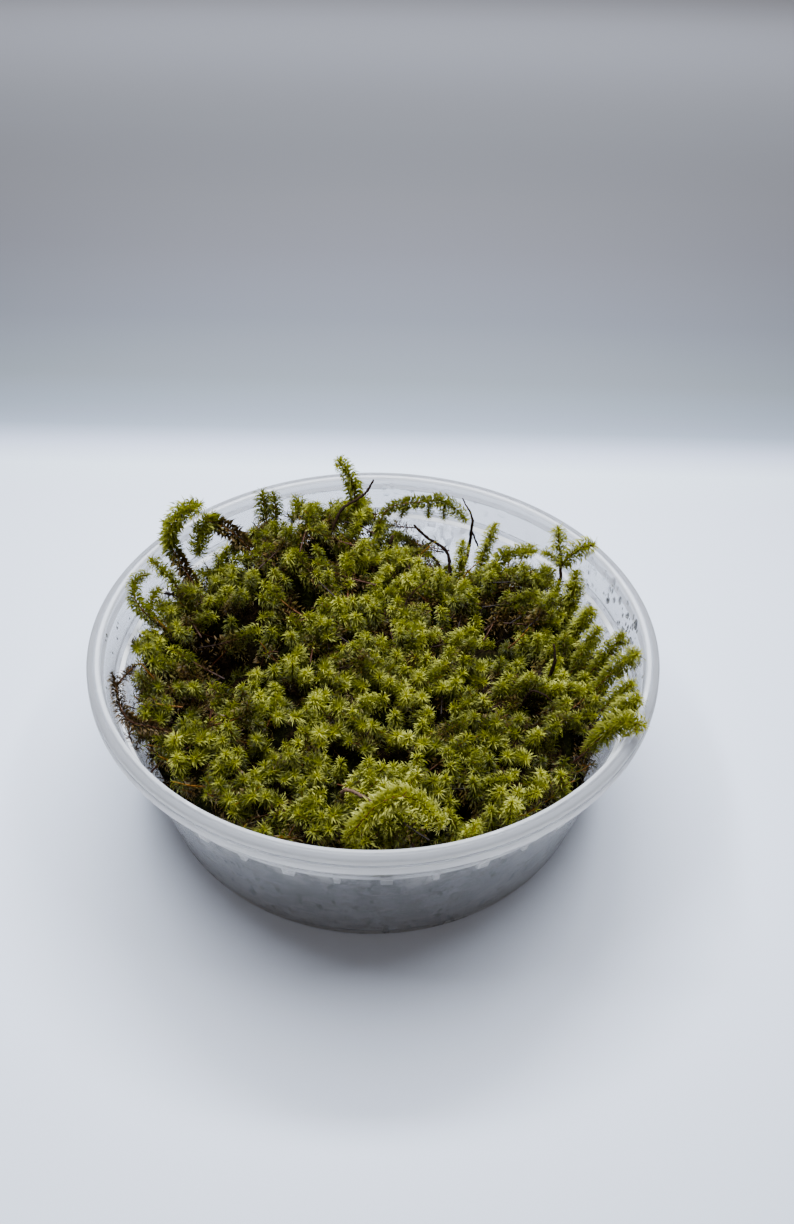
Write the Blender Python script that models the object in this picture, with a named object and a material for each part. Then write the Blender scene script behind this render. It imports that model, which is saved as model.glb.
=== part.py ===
"""Clump of leafy moss that fills a low round plastic tub.

Metres, +Z up. The origin is the centre of the tub's foot on the surface it stands on.
The front of the clump faces -Y.
"""
import math
import random

import bmesh
import bpy
from mathutils import Vector, geometry

MM = 0.001

# Tub: a tapered body, a stacking ledge, and a rolled rim that takes a lid.
TUB_HEIGHT = 40.0 * MM
RIM_RADIUS = 58.5 * MM
RIM_INNER_RADIUS = 55.7 * MM
SKIRT_DEPTH = 3.6 * MM
SKIRT_GROOVE = 0.35 * MM
LEDGE_HEIGHT = 30.4 * MM
LEDGE_STEP = 0.9 * MM
BODY_TOP_RADIUS = 54.1 * MM
FOOT_RADIUS = 48.8 * MM
FOOT_EDGE = 1.2 * MM
FOOT_RING_INNER = 45.0 * MM
FOOT_RECESS = 0.6 * MM
WALL = 0.9 * MM
TUB_SEGMENTS = 60

# Small blocks under the ledge that keep stacked tubs from jamming.
NUB_COUNT = 40
NUB_WIDTH = 2.0 * MM
NUB_DEPTH = 2.6 * MM
NUB_REACH = 0.8 * MM
NUB_SINK = 0.5 * MM

# Moss mat: tangled lower shoots with a tufted top.
GAP = 0.35 * MM
MAT_WALL_CLEARANCE = 0.8 * MM
MAT_LEVEL = 34.0 * MM
MAT_SIDE_TOP = 30.0 * MM
TUFT_SPACING = 4.9 * MM
TUFT_RISE = 2.3 * MM
TUFT_VALLEY = 2.2 * MM
EDGE_WIDTH = 7.0 * MM
MAT_EDGE_POINTS = 72
MAT_SIDE_RINGS = 5
SEED = 7

# The mat's outline seen from above: direction in degrees from +X, radius there, and how
# far the top falls towards that edge.
MAT_OUTLINE = [
    (0, 49.0, 3.5), (22, 48.0, 1.5), (37, 45.8, 1.5), (47, 42.6, 4.0), (60, 39.8, 5.0),
    (80, 40.8, 5.0), (92, 44.0, 3.0), (103, 46.0, 2.0), (118, 45.5, 2.0), (135, 46.5, 3.5),
    (152, 49.2, 4.5), (168, 51.0, 3.0), (182, 51.0, 3.5), (205, 50.4, 4.0), (225, 50.6, 2.1),
    (250, 52.2, 2.1), (270, 53.0, 2.1), (295, 52.6, 2.1), (320, 50.8, 2.1), (340, 49.0, 3.0),
]

# Broad mounds (positive) and dips (negative): x, y, spread and height.
MAT_MOUNDS = [
    (-17.0, 25.0, 15.0, 8.0), (-33.0, 14.0, 10.0, 3.5), (-7.5, 38.0, 9.0, 8.0),
    (-24.0, 34.0, 8.0, 6.0), (17.0, 33.0, 10.0, -5.0), (35.0, 23.0, 8.5, 4.0),
    (44.0, 13.0, 9.0, 3.0), (35.0, 0.0, 11.0, -2.0), (-37.0, -14.0, 12.0, -2.5), (8.0, -40.0, 12.0, 2.5),
    (30.0, -34.0, 9.0, 2.0),
]

# Dark hollows between the shoots: x, y, radius and depth.
MAT_HOLLOWS = [
    (-36.0, -7.0, 5.5, 8.0), (-29.0, -6.5, 4.0, 7.0), (-32.5, 1.0, 5.5, 8.0),
    (-5.5, 18.8, 3.2, 8.0), (22.5, 12.0, 4.2, 9.0), (28.5, 10.5, 3.4, 8.0),
    (10.2, -48.0, 3.2, 6.0), (20.6, -13.6, 3.0, 5.0), (43.0, -21.5, 4.0, 5.0),
    (-17.0, 11.5, 3.2, 6.0), (2.0, -22.0, 2.8, 4.0), (-8.0, -32.0, 2.8, 4.0),
]

# Loose shoots and twigs that stand clear of the mat. Each has a finish and one or more
# branches: control points in millimetres from the root out, and the radius at each.
SHOOTS = {
    "shoot_left_arch": ("moss", [
        ([(-38.5, 13.5, 31.5), (-43.8, 18.2, 38.5), (-46.4, 20.5, 43.5), (-45.6, 21.0, 48.3),
          (-42.9, 22.6, 51.2), (-39.6, 25.2, 51.2)], [0.7, 1.2, 1.6, 2.0, 2.1, 0.9]),
    ]),
    "shoot_left_leg": ("moss_dark", [
        ([(-27.0, 23.5, 36.0), (-31.9, 25.5, 41.6), (-35.6, 25.8, 44.8), (-38.2, 24.8, 46.8),
          (-39.6, 23.2, 45.8), (-40.2, 22.0, 43.4), (-40.9, 21.0, 40.6)],
         [0.8, 1.4, 1.5, 1.6, 1.7, 1.6, 0.6]),
    ]),
    "shoot_left_low": ("moss", [
        ([(-42.0, 12.0, 33.5), (-46.6, 15.2, 38.6), (-50.4, 16.6, 42.2)], [0.8, 1.5, 0.6]),
    ]),
    "shoot_left_hook": ("moss", [
        ([(-44.5, 3.5, 31.5), (-49.6, 4.6, 36.6), (-52.0, 6.6, 39.6), (-52.2, 10.3, 41.4),
          (-49.8, 12.0, 41.6)], [0.8, 1.3, 1.4, 1.3, 0.6]),
        ([(-48.8, 4.5, 35.8), (-49.2, 8.2, 36.8), (-47.8, 11.2, 38.4)], [0.8, 1.1, 0.5]),
    ]),
    "tuft_back_left": ("moss_dark", [
        ([(-26.0, 31.0, 35.0), (-27.4, 36.0, 40.6), (-28.2, 39.4, 45.4)], [0.9, 2.0, 0.8]),
        ([(-26.4, 32.6, 37.0), (-25.0, 37.0, 41.4), (-25.8, 40.0, 44.8)], [0.9, 1.6, 0.6]),
    ]),
    "shoot_back_spike": ("moss", [
        ([(-5.2, 38.0, 35.0), (-5.9, 40.4, 41.0), (-6.8, 42.0, 46.2), (-8.3, 42.0, 50.6),
          (-10.0, 41.4, 53.8)], [0.8, 1.7, 1.7, 1.5, 0.5]),
    ]),
    "twig_back_thin": ("stem", [
        ([(-12.1, 26.7, 39.2), (-9.0, 30.0, 46.8), (-4.7, 32.5, 49.0), (-2.8, 33.9, 50.3),
          (-1.6, 35.1, 52.3)], [0.5, 0.5, 0.45, 0.4, 0.3]),
    ]),
    "shoot_back_level": ("moss", [
        ([(-2.0, 33.4, 33.5), (1.0, 37.4, 41.6), (6.0, 38.4, 43.8), (10.4, 39.4, 43.6),
          (14.0, 40.8, 43.2), (17.4, 40.4, 41.8), (20.6, 37.8, 39.8)],
         [0.7, 1.1, 1.5, 1.4, 1.7, 1.6, 0.6]),
        ([(6.0, 38.4, 43.4), (5.0, 37.8, 40.4)], [1.1, 0.5]),
        ([(11.6, 39.9, 43.2), (11.5, 38.7, 39.9)], [1.1, 0.5]),
        ([(15.4, 40.8, 42.6), (15.3, 39.2, 39.2)], [1.1, 0.5]),
    ]),
    "twig_back_dark": ("stem", [
        ([(19.5, 34.0, 22.0), (22.1, 40.4, 28.6), (22.4, 41.2, 34.6), (22.4, 41.4, 38.0),
          (19.9, 44.2, 41.8)], [0.6, 0.55, 0.5, 0.45, 0.3]),
        ([(22.4, 41.1, 34.6), (24.6, 40.6, 29.6)], [0.45, 0.3]),
    ]),
    "stem_back_low": ("stem", [
        ([(1.5, 34.0, 28.0), (3.4, 39.4, 33.6), (8.4, 40.2, 29.8), (13.6, 39.6, 26.6),
          (17.0, 34.6, 22.0)], [0.6, 0.7, 0.6, 0.6, 0.5]),
    ]),
    "stem_back_high": ("stem", [
        ([(17.4, 31.0, 25.0), (16.4, 35.2, 31.8), (11.2, 36.0, 35.8), (8.1, 36.4, 39.0)],
         [0.6, 0.6, 0.55, 0.4]),
    ]),
    "shoot_back_short": ("moss", [
        ([(19.2, 27.6, 24.5), (19.6, 31.6, 31.0), (20.0, 34.2, 36.2)], [0.8, 1.5, 0.6]),
    ]),
    "shoot_back_right": ("moss", [
        ([(23.4, 27.0, 26.0), (24.8, 31.6, 33.0), (26.2, 33.6, 37.4), (27.4, 34.8, 41.0)],
         [0.8, 1.5, 1.4, 0.5]),
    ]),
    "shoot_right_reach": ("moss", [
        ([(24.6, 22.6, 29.0), (28.5, 27.6, 36.4), (33.0, 26.6, 39.0), (36.2, 25.6, 40.0)],
         [0.8, 1.6, 1.5, 0.6]),
    ]),
    "branch_right": ("stem", [
        ([(37.0, 13.4, 27.0), (40.0, 17.9, 32.6), (41.4, 18.7, 37.4), (41.3, 19.6, 40.6),
          (44.4, 20.2, 44.6), (47.6, 19.6, 46.6)], [0.7, 0.75, 0.75, 0.9, 1.7, 0.6]),
        ([(41.3, 19.5, 40.5), (40.5, 22.4, 44.4), (40.2, 24.4, 47.6)], [0.8, 1.6, 0.6]),
        ([(41.3, 19.5, 40.4), (39.4, 22.6, 41.0)], [0.7, 0.6]),
    ]),
    "shoot_right_hanging": ("moss", [
        ([(41.6, 10.6, 27.0), (43.4, 14.2, 34.0), (44.2, 16.0, 38.2), (44.3, 17.4, 40.8)],
         [0.8, 1.6, 1.5, 0.6]),
    ]),
    "shoot_right_low": ("moss", [
        ([(41.6, 4.4, 27.5), (44.8, 7.2, 33.4), (46.8, 8.4, 37.6)], [0.8, 1.7, 0.6]),
    ]),
    "shoot_right_edge": ("moss", [
        ([(42.0, -2.6, 28.0), (45.2, 0.4, 34.4), (47.0, 1.2, 38.4)], [0.8, 1.7, 0.6]),
    ]),
    "shoot_rim_back": ("moss", [
        ([(44.0, -5.6, 29.0), (48.6, -4.0, 35.6), (51.2, -2.8, 40.4)], [0.8, 1.8, 0.6]),
    ]),
    "shoot_rim_high": ("moss", [
        ([(45.0, -10.4, 30.0), (49.2, -9.6, 37.0), (51.2, -10.2, 40.4), (52.2, -11.2, 42.8)],
         [0.8, 1.8, 1.7, 0.6]),
    ]),
    "shoot_rim_middle": ("moss", [
        ([(45.4, -16.0, 30.0), (49.2, -15.8, 36.2), (50.8, -16.4, 39.6)], [0.8, 1.8, 0.6]),
    ]),
    "shoot_rim_low": ("moss", [
        ([(44.0, -21.6, 30.5), (47.6, -22.0, 37.6), (50.4, -23.0, 42.4)], [0.8, 1.9, 0.6]),
    ]),
    "shoot_rim_front": ("moss", [
        ([(41.0, -26.6, 30.0), (43.8, -28.0, 38.0), (46.4, -29.6, 43.0), (49.2, -31.6, 44.4)],
         [0.9, 1.9, 1.8, 0.6]),
    ]),
    "shoot_dead_left": ("dead", [
        ([(-37.6, -24.6, 31.0), (-41.2, -27.2, 36.0), (-44.4, -28.0, 38.0), (-46.6, -26.2, 39.2),
          (-47.9, -23.2, 40.2), (-48.9, -20.9, 41.0), (-49.6, -19.4, 42.4)],
         [0.7, 1.2, 1.2, 1.2, 1.2, 1.1, 0.5]),
        ([(-48.6, -21.2, 40.9), (-47.3, -18.6, 41.2), (-46.5, -15.6, 40.8)], [0.8, 0.9, 0.4]),
    ]),
    "twig_front_dry": ("stem", [
        ([(-4.8, -41.6, 33.0), (-3.4, -42.8, 38.4), (-1.2, -44.0, 38.7), (1.1, -45.3, 38.1)],
         [0.5, 0.5, 0.45, 0.35]),
    ]),
    "twig_arc_thin": ("stem", [
        ([(29.6, -17.4, 33.5), (30.8, -18.6, 39.0), (32.7, -21.4, 41.2), (34.3, -22.2, 40.2)],
         [0.45, 0.4, 0.4, 0.35]),
    ]),
    "stem_centre_dark": ("stem", [
        ([(35.6, -7.6, 28.0), (37.2, -6.8, 35.2), (36.9, -4.6, 38.8)], [0.6, 0.6, 0.5]),
    ]),
    "shoot_pale_arch": ("moss_pale", [
        ([(-4.0, -48.6, 31.5), (-1.6, -50.6, 38.0), (1.6, -48.6, 41.4), (5.7, -47.2, 42.6),
          (9.9, -48.4, 41.8), (12.6, -50.4, 39.0)], [0.9, 2.0, 2.0, 2.0, 1.9, 0.8]),
    ]),
}
SHOOT_SIDES = 6
SHOOT_STEP = 2.6 * MM
LUMP = 0.12
SHOOT_BERTH = 1.4 * MM
SHOOT_LIFT = 1.0 * MM

FINISHES = {
    "tub": ((0.80, 0.82, 0.85, 1.0), 0.35, 0.6),
    "mat": ((0.20, 0.24, 0.03, 1.0), 0.75, 0.0),
    "moss": ((0.33, 0.40, 0.04, 1.0), 0.65, 0.0),
    "moss_dark": ((0.16, 0.19, 0.03, 1.0), 0.70, 0.0),
    "moss_pale": ((0.55, 0.58, 0.18, 1.0), 0.65, 0.0),
    "stem": ((0.10, 0.06, 0.03, 1.0), 0.60, 0.0),
    "dead": ((0.26, 0.14, 0.05, 1.0), 0.80, 0.0),
}


def clear_scene():
    for item in list(bpy.data.objects):
        bpy.data.objects.remove(item, do_unlink=True)


def make_material(name):
    colour, roughness, transmission = FINISHES[name]
    material = bpy.data.materials.new(name)
    material.use_nodes = True
    shader = material.node_tree.nodes["Principled BSDF"]
    shader.inputs["Base Color"].default_value = colour
    shader.inputs["Roughness"].default_value = roughness
    shader.inputs["Metallic"].default_value = 0.0
    shader.inputs["Transmission Weight"].default_value = transmission
    return material


def add_object(name, mesh, finish=None):
    obj = bpy.data.objects.new(name, mesh)
    bpy.context.scene.collection.objects.link(obj)
    if finish:
        mesh.materials.append(make_material(finish))
        obj.active_material.name = name + "_finish"
    return obj


def mesh_from_bmesh(name, bm):
    bmesh.ops.recalc_face_normals(bm, faces=bm.faces)
    mesh = bpy.data.meshes.new(name)
    bm.to_mesh(mesh)
    bm.free()
    return mesh


def lerp(a, b, t):
    return a + (b - a) * t


def smooth_step(t):
    t = min(max(t, 0.0), 1.0)
    return t * t * (3.0 - 2.0 * t)


# ---- Tub ----

def wall_outer_radius(height):
    """Outer radius of the tapered body between the foot and the ledge."""
    share = (height - FOOT_EDGE) / (LEDGE_HEIGHT - LEDGE_STEP - FOOT_EDGE)
    return lerp(FOOT_RADIUS, BODY_TOP_RADIUS, share)


def wall_inner_radius(height):
    return wall_outer_radius(height) - WALL


def tub_profile():
    """Closed outline of the wall as radius and height, from the foot up and back down."""
    ledge_radius = BODY_TOP_RADIUS + LEDGE_STEP
    skirt_bottom = TUB_HEIGHT - SKIRT_DEPTH
    groove = TUB_HEIGHT - 0.5 * SKIRT_DEPTH
    skirt_root = RIM_INNER_RADIUS + 0.5 * WALL
    floor = FOOT_RECESS + WALL
    outer = [
        (FOOT_RING_INNER, FOOT_RECESS),
        (FOOT_RING_INNER + 0.5 * MM, 0.0),
        (FOOT_RADIUS - FOOT_EDGE, 0.0),
        (FOOT_RADIUS - 0.3 * FOOT_EDGE, 0.3 * FOOT_EDGE),
        (FOOT_RADIUS, FOOT_EDGE),
        (BODY_TOP_RADIUS, LEDGE_HEIGHT - LEDGE_STEP),
        (ledge_radius, LEDGE_HEIGHT),
        (skirt_root, skirt_bottom),
        (RIM_RADIUS - 0.2 * MM, skirt_bottom),
        (RIM_RADIUS, skirt_bottom + 0.4 * MM),
        (RIM_RADIUS, groove - 0.2 * MM),
        (RIM_RADIUS - SKIRT_GROOVE, groove + 0.1 * MM),
        (RIM_RADIUS - SKIRT_GROOVE, TUB_HEIGHT - 0.7 * MM),
        (RIM_RADIUS - SKIRT_GROOVE - 0.7 * MM, TUB_HEIGHT),
    ]
    inner = [
        (RIM_INNER_RADIUS + 0.5 * MM, TUB_HEIGHT),
        (RIM_INNER_RADIUS, TUB_HEIGHT - 0.5 * MM),
        (ledge_radius - WALL, LEDGE_HEIGHT),
        (wall_inner_radius(LEDGE_HEIGHT - LEDGE_STEP), LEDGE_HEIGHT - LEDGE_STEP),
        (wall_inner_radius(floor + FOOT_EDGE), floor + FOOT_EDGE),
        (wall_inner_radius(floor) - FOOT_EDGE, floor),
    ]
    return outer, inner


def make_tub():
    outer, inner = tub_profile()
    bm = bmesh.new()
    rings = []
    for radius, height in outer + inner:
        ring = []
        for k in range(TUB_SEGMENTS):
            angle = 2.0 * math.pi * k / TUB_SEGMENTS
            ring.append(bm.verts.new((radius * math.cos(angle), radius * math.sin(angle), height)))
        rings.append(ring)
    for low, high in zip(rings, rings[1:]):
        for k in range(TUB_SEGMENTS):
            n = (k + 1) % TUB_SEGMENTS
            bm.faces.new((low[k], low[n], high[n], high[k]))
    bm.faces.new(list(reversed(rings[0])))
    bm.faces.new(rings[-1])
    mesh = mesh_from_bmesh("tub", bm)
    mesh.shade_smooth()
    mesh.set_sharp_from_angle(angle=math.radians(30))
    tub = add_object("tub", mesh, "tub")
    union = tub.modifiers.new("nubs", "BOOLEAN")
    union.operation = "UNION"
    union.solver = "EXACT"
    union.object = make_nubs()
    return tub


def make_nubs():
    """Ring of small wedges under the ledge, each sunk a little way into the wall."""
    bm = bmesh.new()
    top = LEDGE_HEIGHT - 0.6 * LEDGE_STEP
    low = top - NUB_DEPTH
    for k in range(NUB_COUNT):
        angle = 2.0 * math.pi * (k + 0.5) / NUB_COUNT
        out = Vector((math.cos(angle), math.sin(angle), 0.0))
        side = Vector((-math.sin(angle), math.cos(angle), 0.0)) * (0.5 * NUB_WIDTH)
        corners = [
            (wall_outer_radius(low) - NUB_SINK, low),
            (wall_outer_radius(low) + 0.25 * NUB_REACH, low),
            (wall_outer_radius(top) + NUB_REACH - 0.3 * MM, top),
            (wall_outer_radius(top) - NUB_SINK, top),
        ]
        ends = []
        for sign in (-1.0, 1.0):
            ends.append([bm.verts.new(out * r + side * sign + Vector((0, 0, z))) for r, z in corners])
        bm.faces.new(ends[0])
        bm.faces.new(list(reversed(ends[1])))
        for i in range(4):
            j = (i + 1) % 4
            bm.faces.new((ends[0][j], ends[0][i], ends[1][i], ends[1][j]))
    nubs = add_object("nub_ring", mesh_from_bmesh("nub_ring", bm))
    hide_guide(nubs)
    return nubs


def hide_guide(obj):
    obj.hide_render = True
    obj.display_type = "WIRE"


# ---- Loose shoots and twigs ----

def catmull(points, t):
    """Point at t on the smooth curve through the control points, t counted in points."""
    last = len(points) - 1
    i = min(int(t), last - 1)
    f = t - i
    p1 = points[i]
    p2 = points[i + 1]
    p0 = points[i - 1] if i > 0 else p1 * 2.0 - p2
    p3 = points[i + 2] if i + 2 <= last else p2 * 2.0 - p1
    return 0.5 * (2.0 * p1 + (p2 - p0) * f + (2.0 * p0 - 5.0 * p1 + 4.0 * p2 - p3) * f * f
                  + (3.0 * p1 - p0 - 3.0 * p2 + p3) * f * f * f)


def shoot_line(points, radii):
    """Even stations along a branch: place and radius, in metres."""
    controls = [Vector(p) * MM for p in points]
    length = sum((b - a).length for a, b in zip(controls, controls[1:]))
    steps = max(3, round(length / SHOOT_STEP))
    stations = []
    for k in range(steps + 1):
        t = (len(controls) - 1) * k / steps
        i = min(int(t), len(radii) - 2)
        radius = lerp(radii[i], radii[i + 1], t - i) * MM
        stations.append((catmull(controls, t), radius))
    return stations


def tube_mesh(name, stations, grow, lumpy):
    """Closed tube of leaf-tip rings along a branch, grown all round by a clearance."""
    bm = bmesh.new()
    rings = []
    side = None
    for k, (centre, radius) in enumerate(stations):
        before = stations[max(k - 1, 0)][0]
        after = stations[min(k + 1, len(stations) - 1)][0]
        along = (after - before).normalized()
        if side is None:
            side = along.orthogonal().normalized()
        side = (side - along * side.dot(along)).normalized()
        across = along.cross(side)
        inner = 0 < k < len(stations) - 1
        swell = 1.0 + LUMP * (1 if k % 2 else -1) * (lumpy and inner)
        shift = along * grow * ((k == len(stations) - 1) - (k == 0))
        ring = []
        for s in range(SHOOT_SIDES):
            angle = 2.0 * math.pi * (s + 0.5 * (k % 2)) / SHOOT_SIDES
            reach = radius * swell + grow
            offset = side * (math.cos(angle) * reach) + across * (math.sin(angle) * reach)
            ring.append(bm.verts.new(centre + shift + offset))
        rings.append(ring)
    for low, high in zip(rings, rings[1:]):
        for s in range(SHOOT_SIDES):
            n = (s + 1) % SHOOT_SIDES
            bm.faces.new((low[s], low[n], high[n], high[s]))
    bm.faces.new(rings[0])
    bm.faces.new(list(reversed(rings[-1])))
    return mesh_from_bmesh(name, bm)


def make_shoot(name, finish, branches, sockets):
    """One loose shoot; side branches are fused to it, and each branch gets a socket cutter."""
    lumpy = finish != "stem"
    shoot = None
    for index, (points, radii) in enumerate(branches):
        stations = shoot_line(points, radii)
        label = name if index == 0 else f"{name}_branch{index}"
        mesh = tube_mesh(label, stations, 0.0, lumpy)
        if shoot is None:
            mesh.shade_smooth()
            shoot = add_object(name, mesh, finish)
        else:
            branch = add_object(label, mesh)
            hide_guide(branch)
            union = shoot.modifiers.new(label, "BOOLEAN")
            union.operation = "UNION"
            union.solver = "EXACT"
            union.object = branch
        cutter = bpy.data.objects.new(label + "_socket", tube_mesh(label + "_socket", stations, GAP, lumpy))
        sockets.objects.link(cutter)
        hide_guide(cutter)
    return shoot


# ---- Moss mat ----

def outline_at(angle):
    """Mat radius in a direction and the fall of its top there, smoothly between rows."""
    degrees = math.degrees(angle) % 360.0
    first = MAT_OUTLINE[0]
    listed = MAT_OUTLINE + [(first[0] + 360.0, first[1], first[2])]
    for (a0, r0, f0), (a1, r1, f1) in zip(listed, listed[1:]):
        if a0 <= degrees <= a1:
            share = smooth_step((degrees - a0) / (a1 - a0))
            return lerp(r0, r1, share) * MM, lerp(f0, f1, share) * MM
    return first[1] * MM, first[2] * MM


def outline_radius(angle):
    """Mat radius in a direction."""
    return outline_at(angle)[0]


def mat_level(x, y):
    """Mean height of the mat's top, without its tufts."""
    height = MAT_LEVEL
    for cx, cy, spread, rise in MAT_MOUNDS:
        away = ((x - cx * MM) ** 2 + (y - cy * MM) ** 2) / (spread * MM) ** 2
        height += rise * MM * math.exp(-away)
    for cx, cy, radius, depth in MAT_HOLLOWS:
        away = ((x - cx * MM) ** 2 + (y - cy * MM) ** 2) / (radius * MM) ** 2
        height -= depth * MM * math.exp(-away * away)
    radius, fall = outline_at(math.atan2(y, x))
    edge = radius - math.hypot(x, y)
    return height - fall * (1.0 - smooth_step(edge / EDGE_WIDTH))


def tuft_centres(rng):
    """Evenly scattered tuft tips inside the outline."""
    centres = []
    reach = 54.0 * MM
    for _ in range(30000):
        x = rng.uniform(-reach, reach)
        y = rng.uniform(-reach, reach)
        if math.hypot(x, y) > outline_radius(math.atan2(y, x)) - 0.45 * TUFT_SPACING:
            continue
        if all((x - a) ** 2 + (y - b) ** 2 > TUFT_SPACING ** 2 for a, b in centres):
            centres.append((x, y))
    return centres


def valley_points(centres):
    """The low points between the tufts, one in each triangle of neighbouring tips."""
    result = geometry.delaunay_2d_cdt([Vector(c) for c in centres], [], [], 0, 1e-7)
    valleys = []
    for face in result[2]:
        corners = [result[0][i] for i in face]
        span = max((corners[i] - corners[i - 1]).length for i in range(3))
        if span < 2.2 * TUFT_SPACING:
            middle = (corners[0] + corners[1] + corners[2]) / 3.0
            valleys.append((middle.x, middle.y))
    return valleys


def clear_of_shoots(x, y, height, stations):
    """Keep the mat's top under the free lengths of the loose shoots."""
    for centre, radius in stations:
        near = math.hypot(x - centre.x, y - centre.y)
        free = centre.z > mat_level(centre.x, centre.y) - 0.5 * SHOOT_LIFT
        if free and near < radius + SHOOT_BERTH:
            height = min(height, centre.z - radius - SHOOT_LIFT)
    return height


def make_mat(sockets):
    rng = random.Random(SEED)
    stations = []
    for finish, branches in SHOOTS.values():
        for points, radii in branches:
            stations += shoot_line(points, radii)
    centres = tuft_centres(rng)
    valleys = valley_points(centres)
    edge = []
    for k in range(MAT_EDGE_POINTS):
        angle = 2.0 * math.pi * k / MAT_EDGE_POINTS
        radius = outline_radius(angle) + rng.uniform(-0.6, 0.6) * MM
        edge.append((radius * math.cos(angle), radius * math.sin(angle)))
    flat = [Vector(p) for p in edge + centres + valleys]
    count = len(edge)
    edges = [(k, (k + 1) % count) for k in range(count)]
    result = geometry.delaunay_2d_cdt(flat, edges, [], 1, 1e-7)
    bm = bmesh.new()
    heights = []
    for index in range(len(flat)):
        x, y = flat[index]
        height = mat_level(x, y)
        if index >= count + len(centres):
            height -= TUFT_VALLEY * rng.uniform(0.6, 1.2)
        elif index >= count:
            height += TUFT_RISE * rng.uniform(0.6, 1.3)
        heights.append(clear_of_shoots(x, y, height, stations))
    top = []
    for place, origin in zip(result[0], result[3]):
        top.append(bm.verts.new((place.x, place.y, heights[origin[0]])))
    for face in result[2]:
        bm.faces.new([top[i] for i in face])
    add_mat_sides(bm, top[:count], rng)
    mat = add_object("moss_mat", mesh_from_bmesh("moss_mat", bm), "mat")
    cut = mat.modifiers.new("sockets", "BOOLEAN")
    cut.operation = "DIFFERENCE"
    cut.solver = "EXACT"
    cut.operand_type = "COLLECTION"
    cut.collection = sockets
    return mat


def add_mat_sides(bm, rim, rng):
    """Walls of the mat: they follow the tub's taper and swell and dent like packed stems."""
    floor = FOOT_RECESS + WALL + GAP
    rings = [rim]
    count = len(rim)
    for level in range(1, MAT_SIDE_RINGS + 1):
        share = level / MAT_SIDE_RINGS
        ring = []
        for k in range(count):
            angle = 2.0 * math.pi * k / count
            start = rim[k].co
            height = lerp(min(start.z, MAT_SIDE_TOP), floor, share)
            fill = smooth_step(share * 1.3)
            packed = wall_inner_radius(max(height, floor + FOOT_EDGE)) - MAT_WALL_CLEARANCE
            if level == MAT_SIDE_RINGS:
                packed -= FOOT_EDGE
            radius = lerp(outline_radius(angle), packed, fill)
            radius = min(radius + rng.uniform(-0.9, 0.4) * MM, packed)
            ring.append(bm.verts.new((radius * math.cos(angle), radius * math.sin(angle), height)))
        rings.append(ring)
    for high, low in zip(rings, rings[1:]):
        for k in range(count):
            n = (k + 1) % count
            bm.faces.new((high[k], high[n], low[n]))
            bm.faces.new((high[k], low[n], low[k]))
    bm.faces.new(rings[-1])


def main():
    clear_scene()
    make_tub()
    sockets = bpy.data.collections.new("sockets")
    bpy.context.scene.collection.children.link(sockets)
    for name, (finish, branches) in SHOOTS.items():
        make_shoot(name, finish, branches, sockets)
    make_mat(sockets)


main()
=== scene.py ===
import math
import bpy
import numpy as np
from mathutils import Euler, Matrix, Vector, noise
from mathutils.bvhtree import BVHTree


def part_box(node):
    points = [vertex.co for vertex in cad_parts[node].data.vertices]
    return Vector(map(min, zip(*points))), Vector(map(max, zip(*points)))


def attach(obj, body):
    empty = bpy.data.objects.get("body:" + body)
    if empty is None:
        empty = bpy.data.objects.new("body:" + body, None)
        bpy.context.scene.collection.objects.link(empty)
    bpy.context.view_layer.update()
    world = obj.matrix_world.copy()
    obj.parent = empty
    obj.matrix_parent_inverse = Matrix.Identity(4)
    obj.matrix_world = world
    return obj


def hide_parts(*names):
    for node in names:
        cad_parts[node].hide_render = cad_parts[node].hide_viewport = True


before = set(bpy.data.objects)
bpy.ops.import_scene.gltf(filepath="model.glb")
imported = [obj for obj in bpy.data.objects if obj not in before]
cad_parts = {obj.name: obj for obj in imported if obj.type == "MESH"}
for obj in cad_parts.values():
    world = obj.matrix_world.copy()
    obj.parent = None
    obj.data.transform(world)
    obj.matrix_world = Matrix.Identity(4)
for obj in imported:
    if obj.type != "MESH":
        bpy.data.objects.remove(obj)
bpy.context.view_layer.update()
mm = 0.001
golden = math.radians(137.5)


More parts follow.
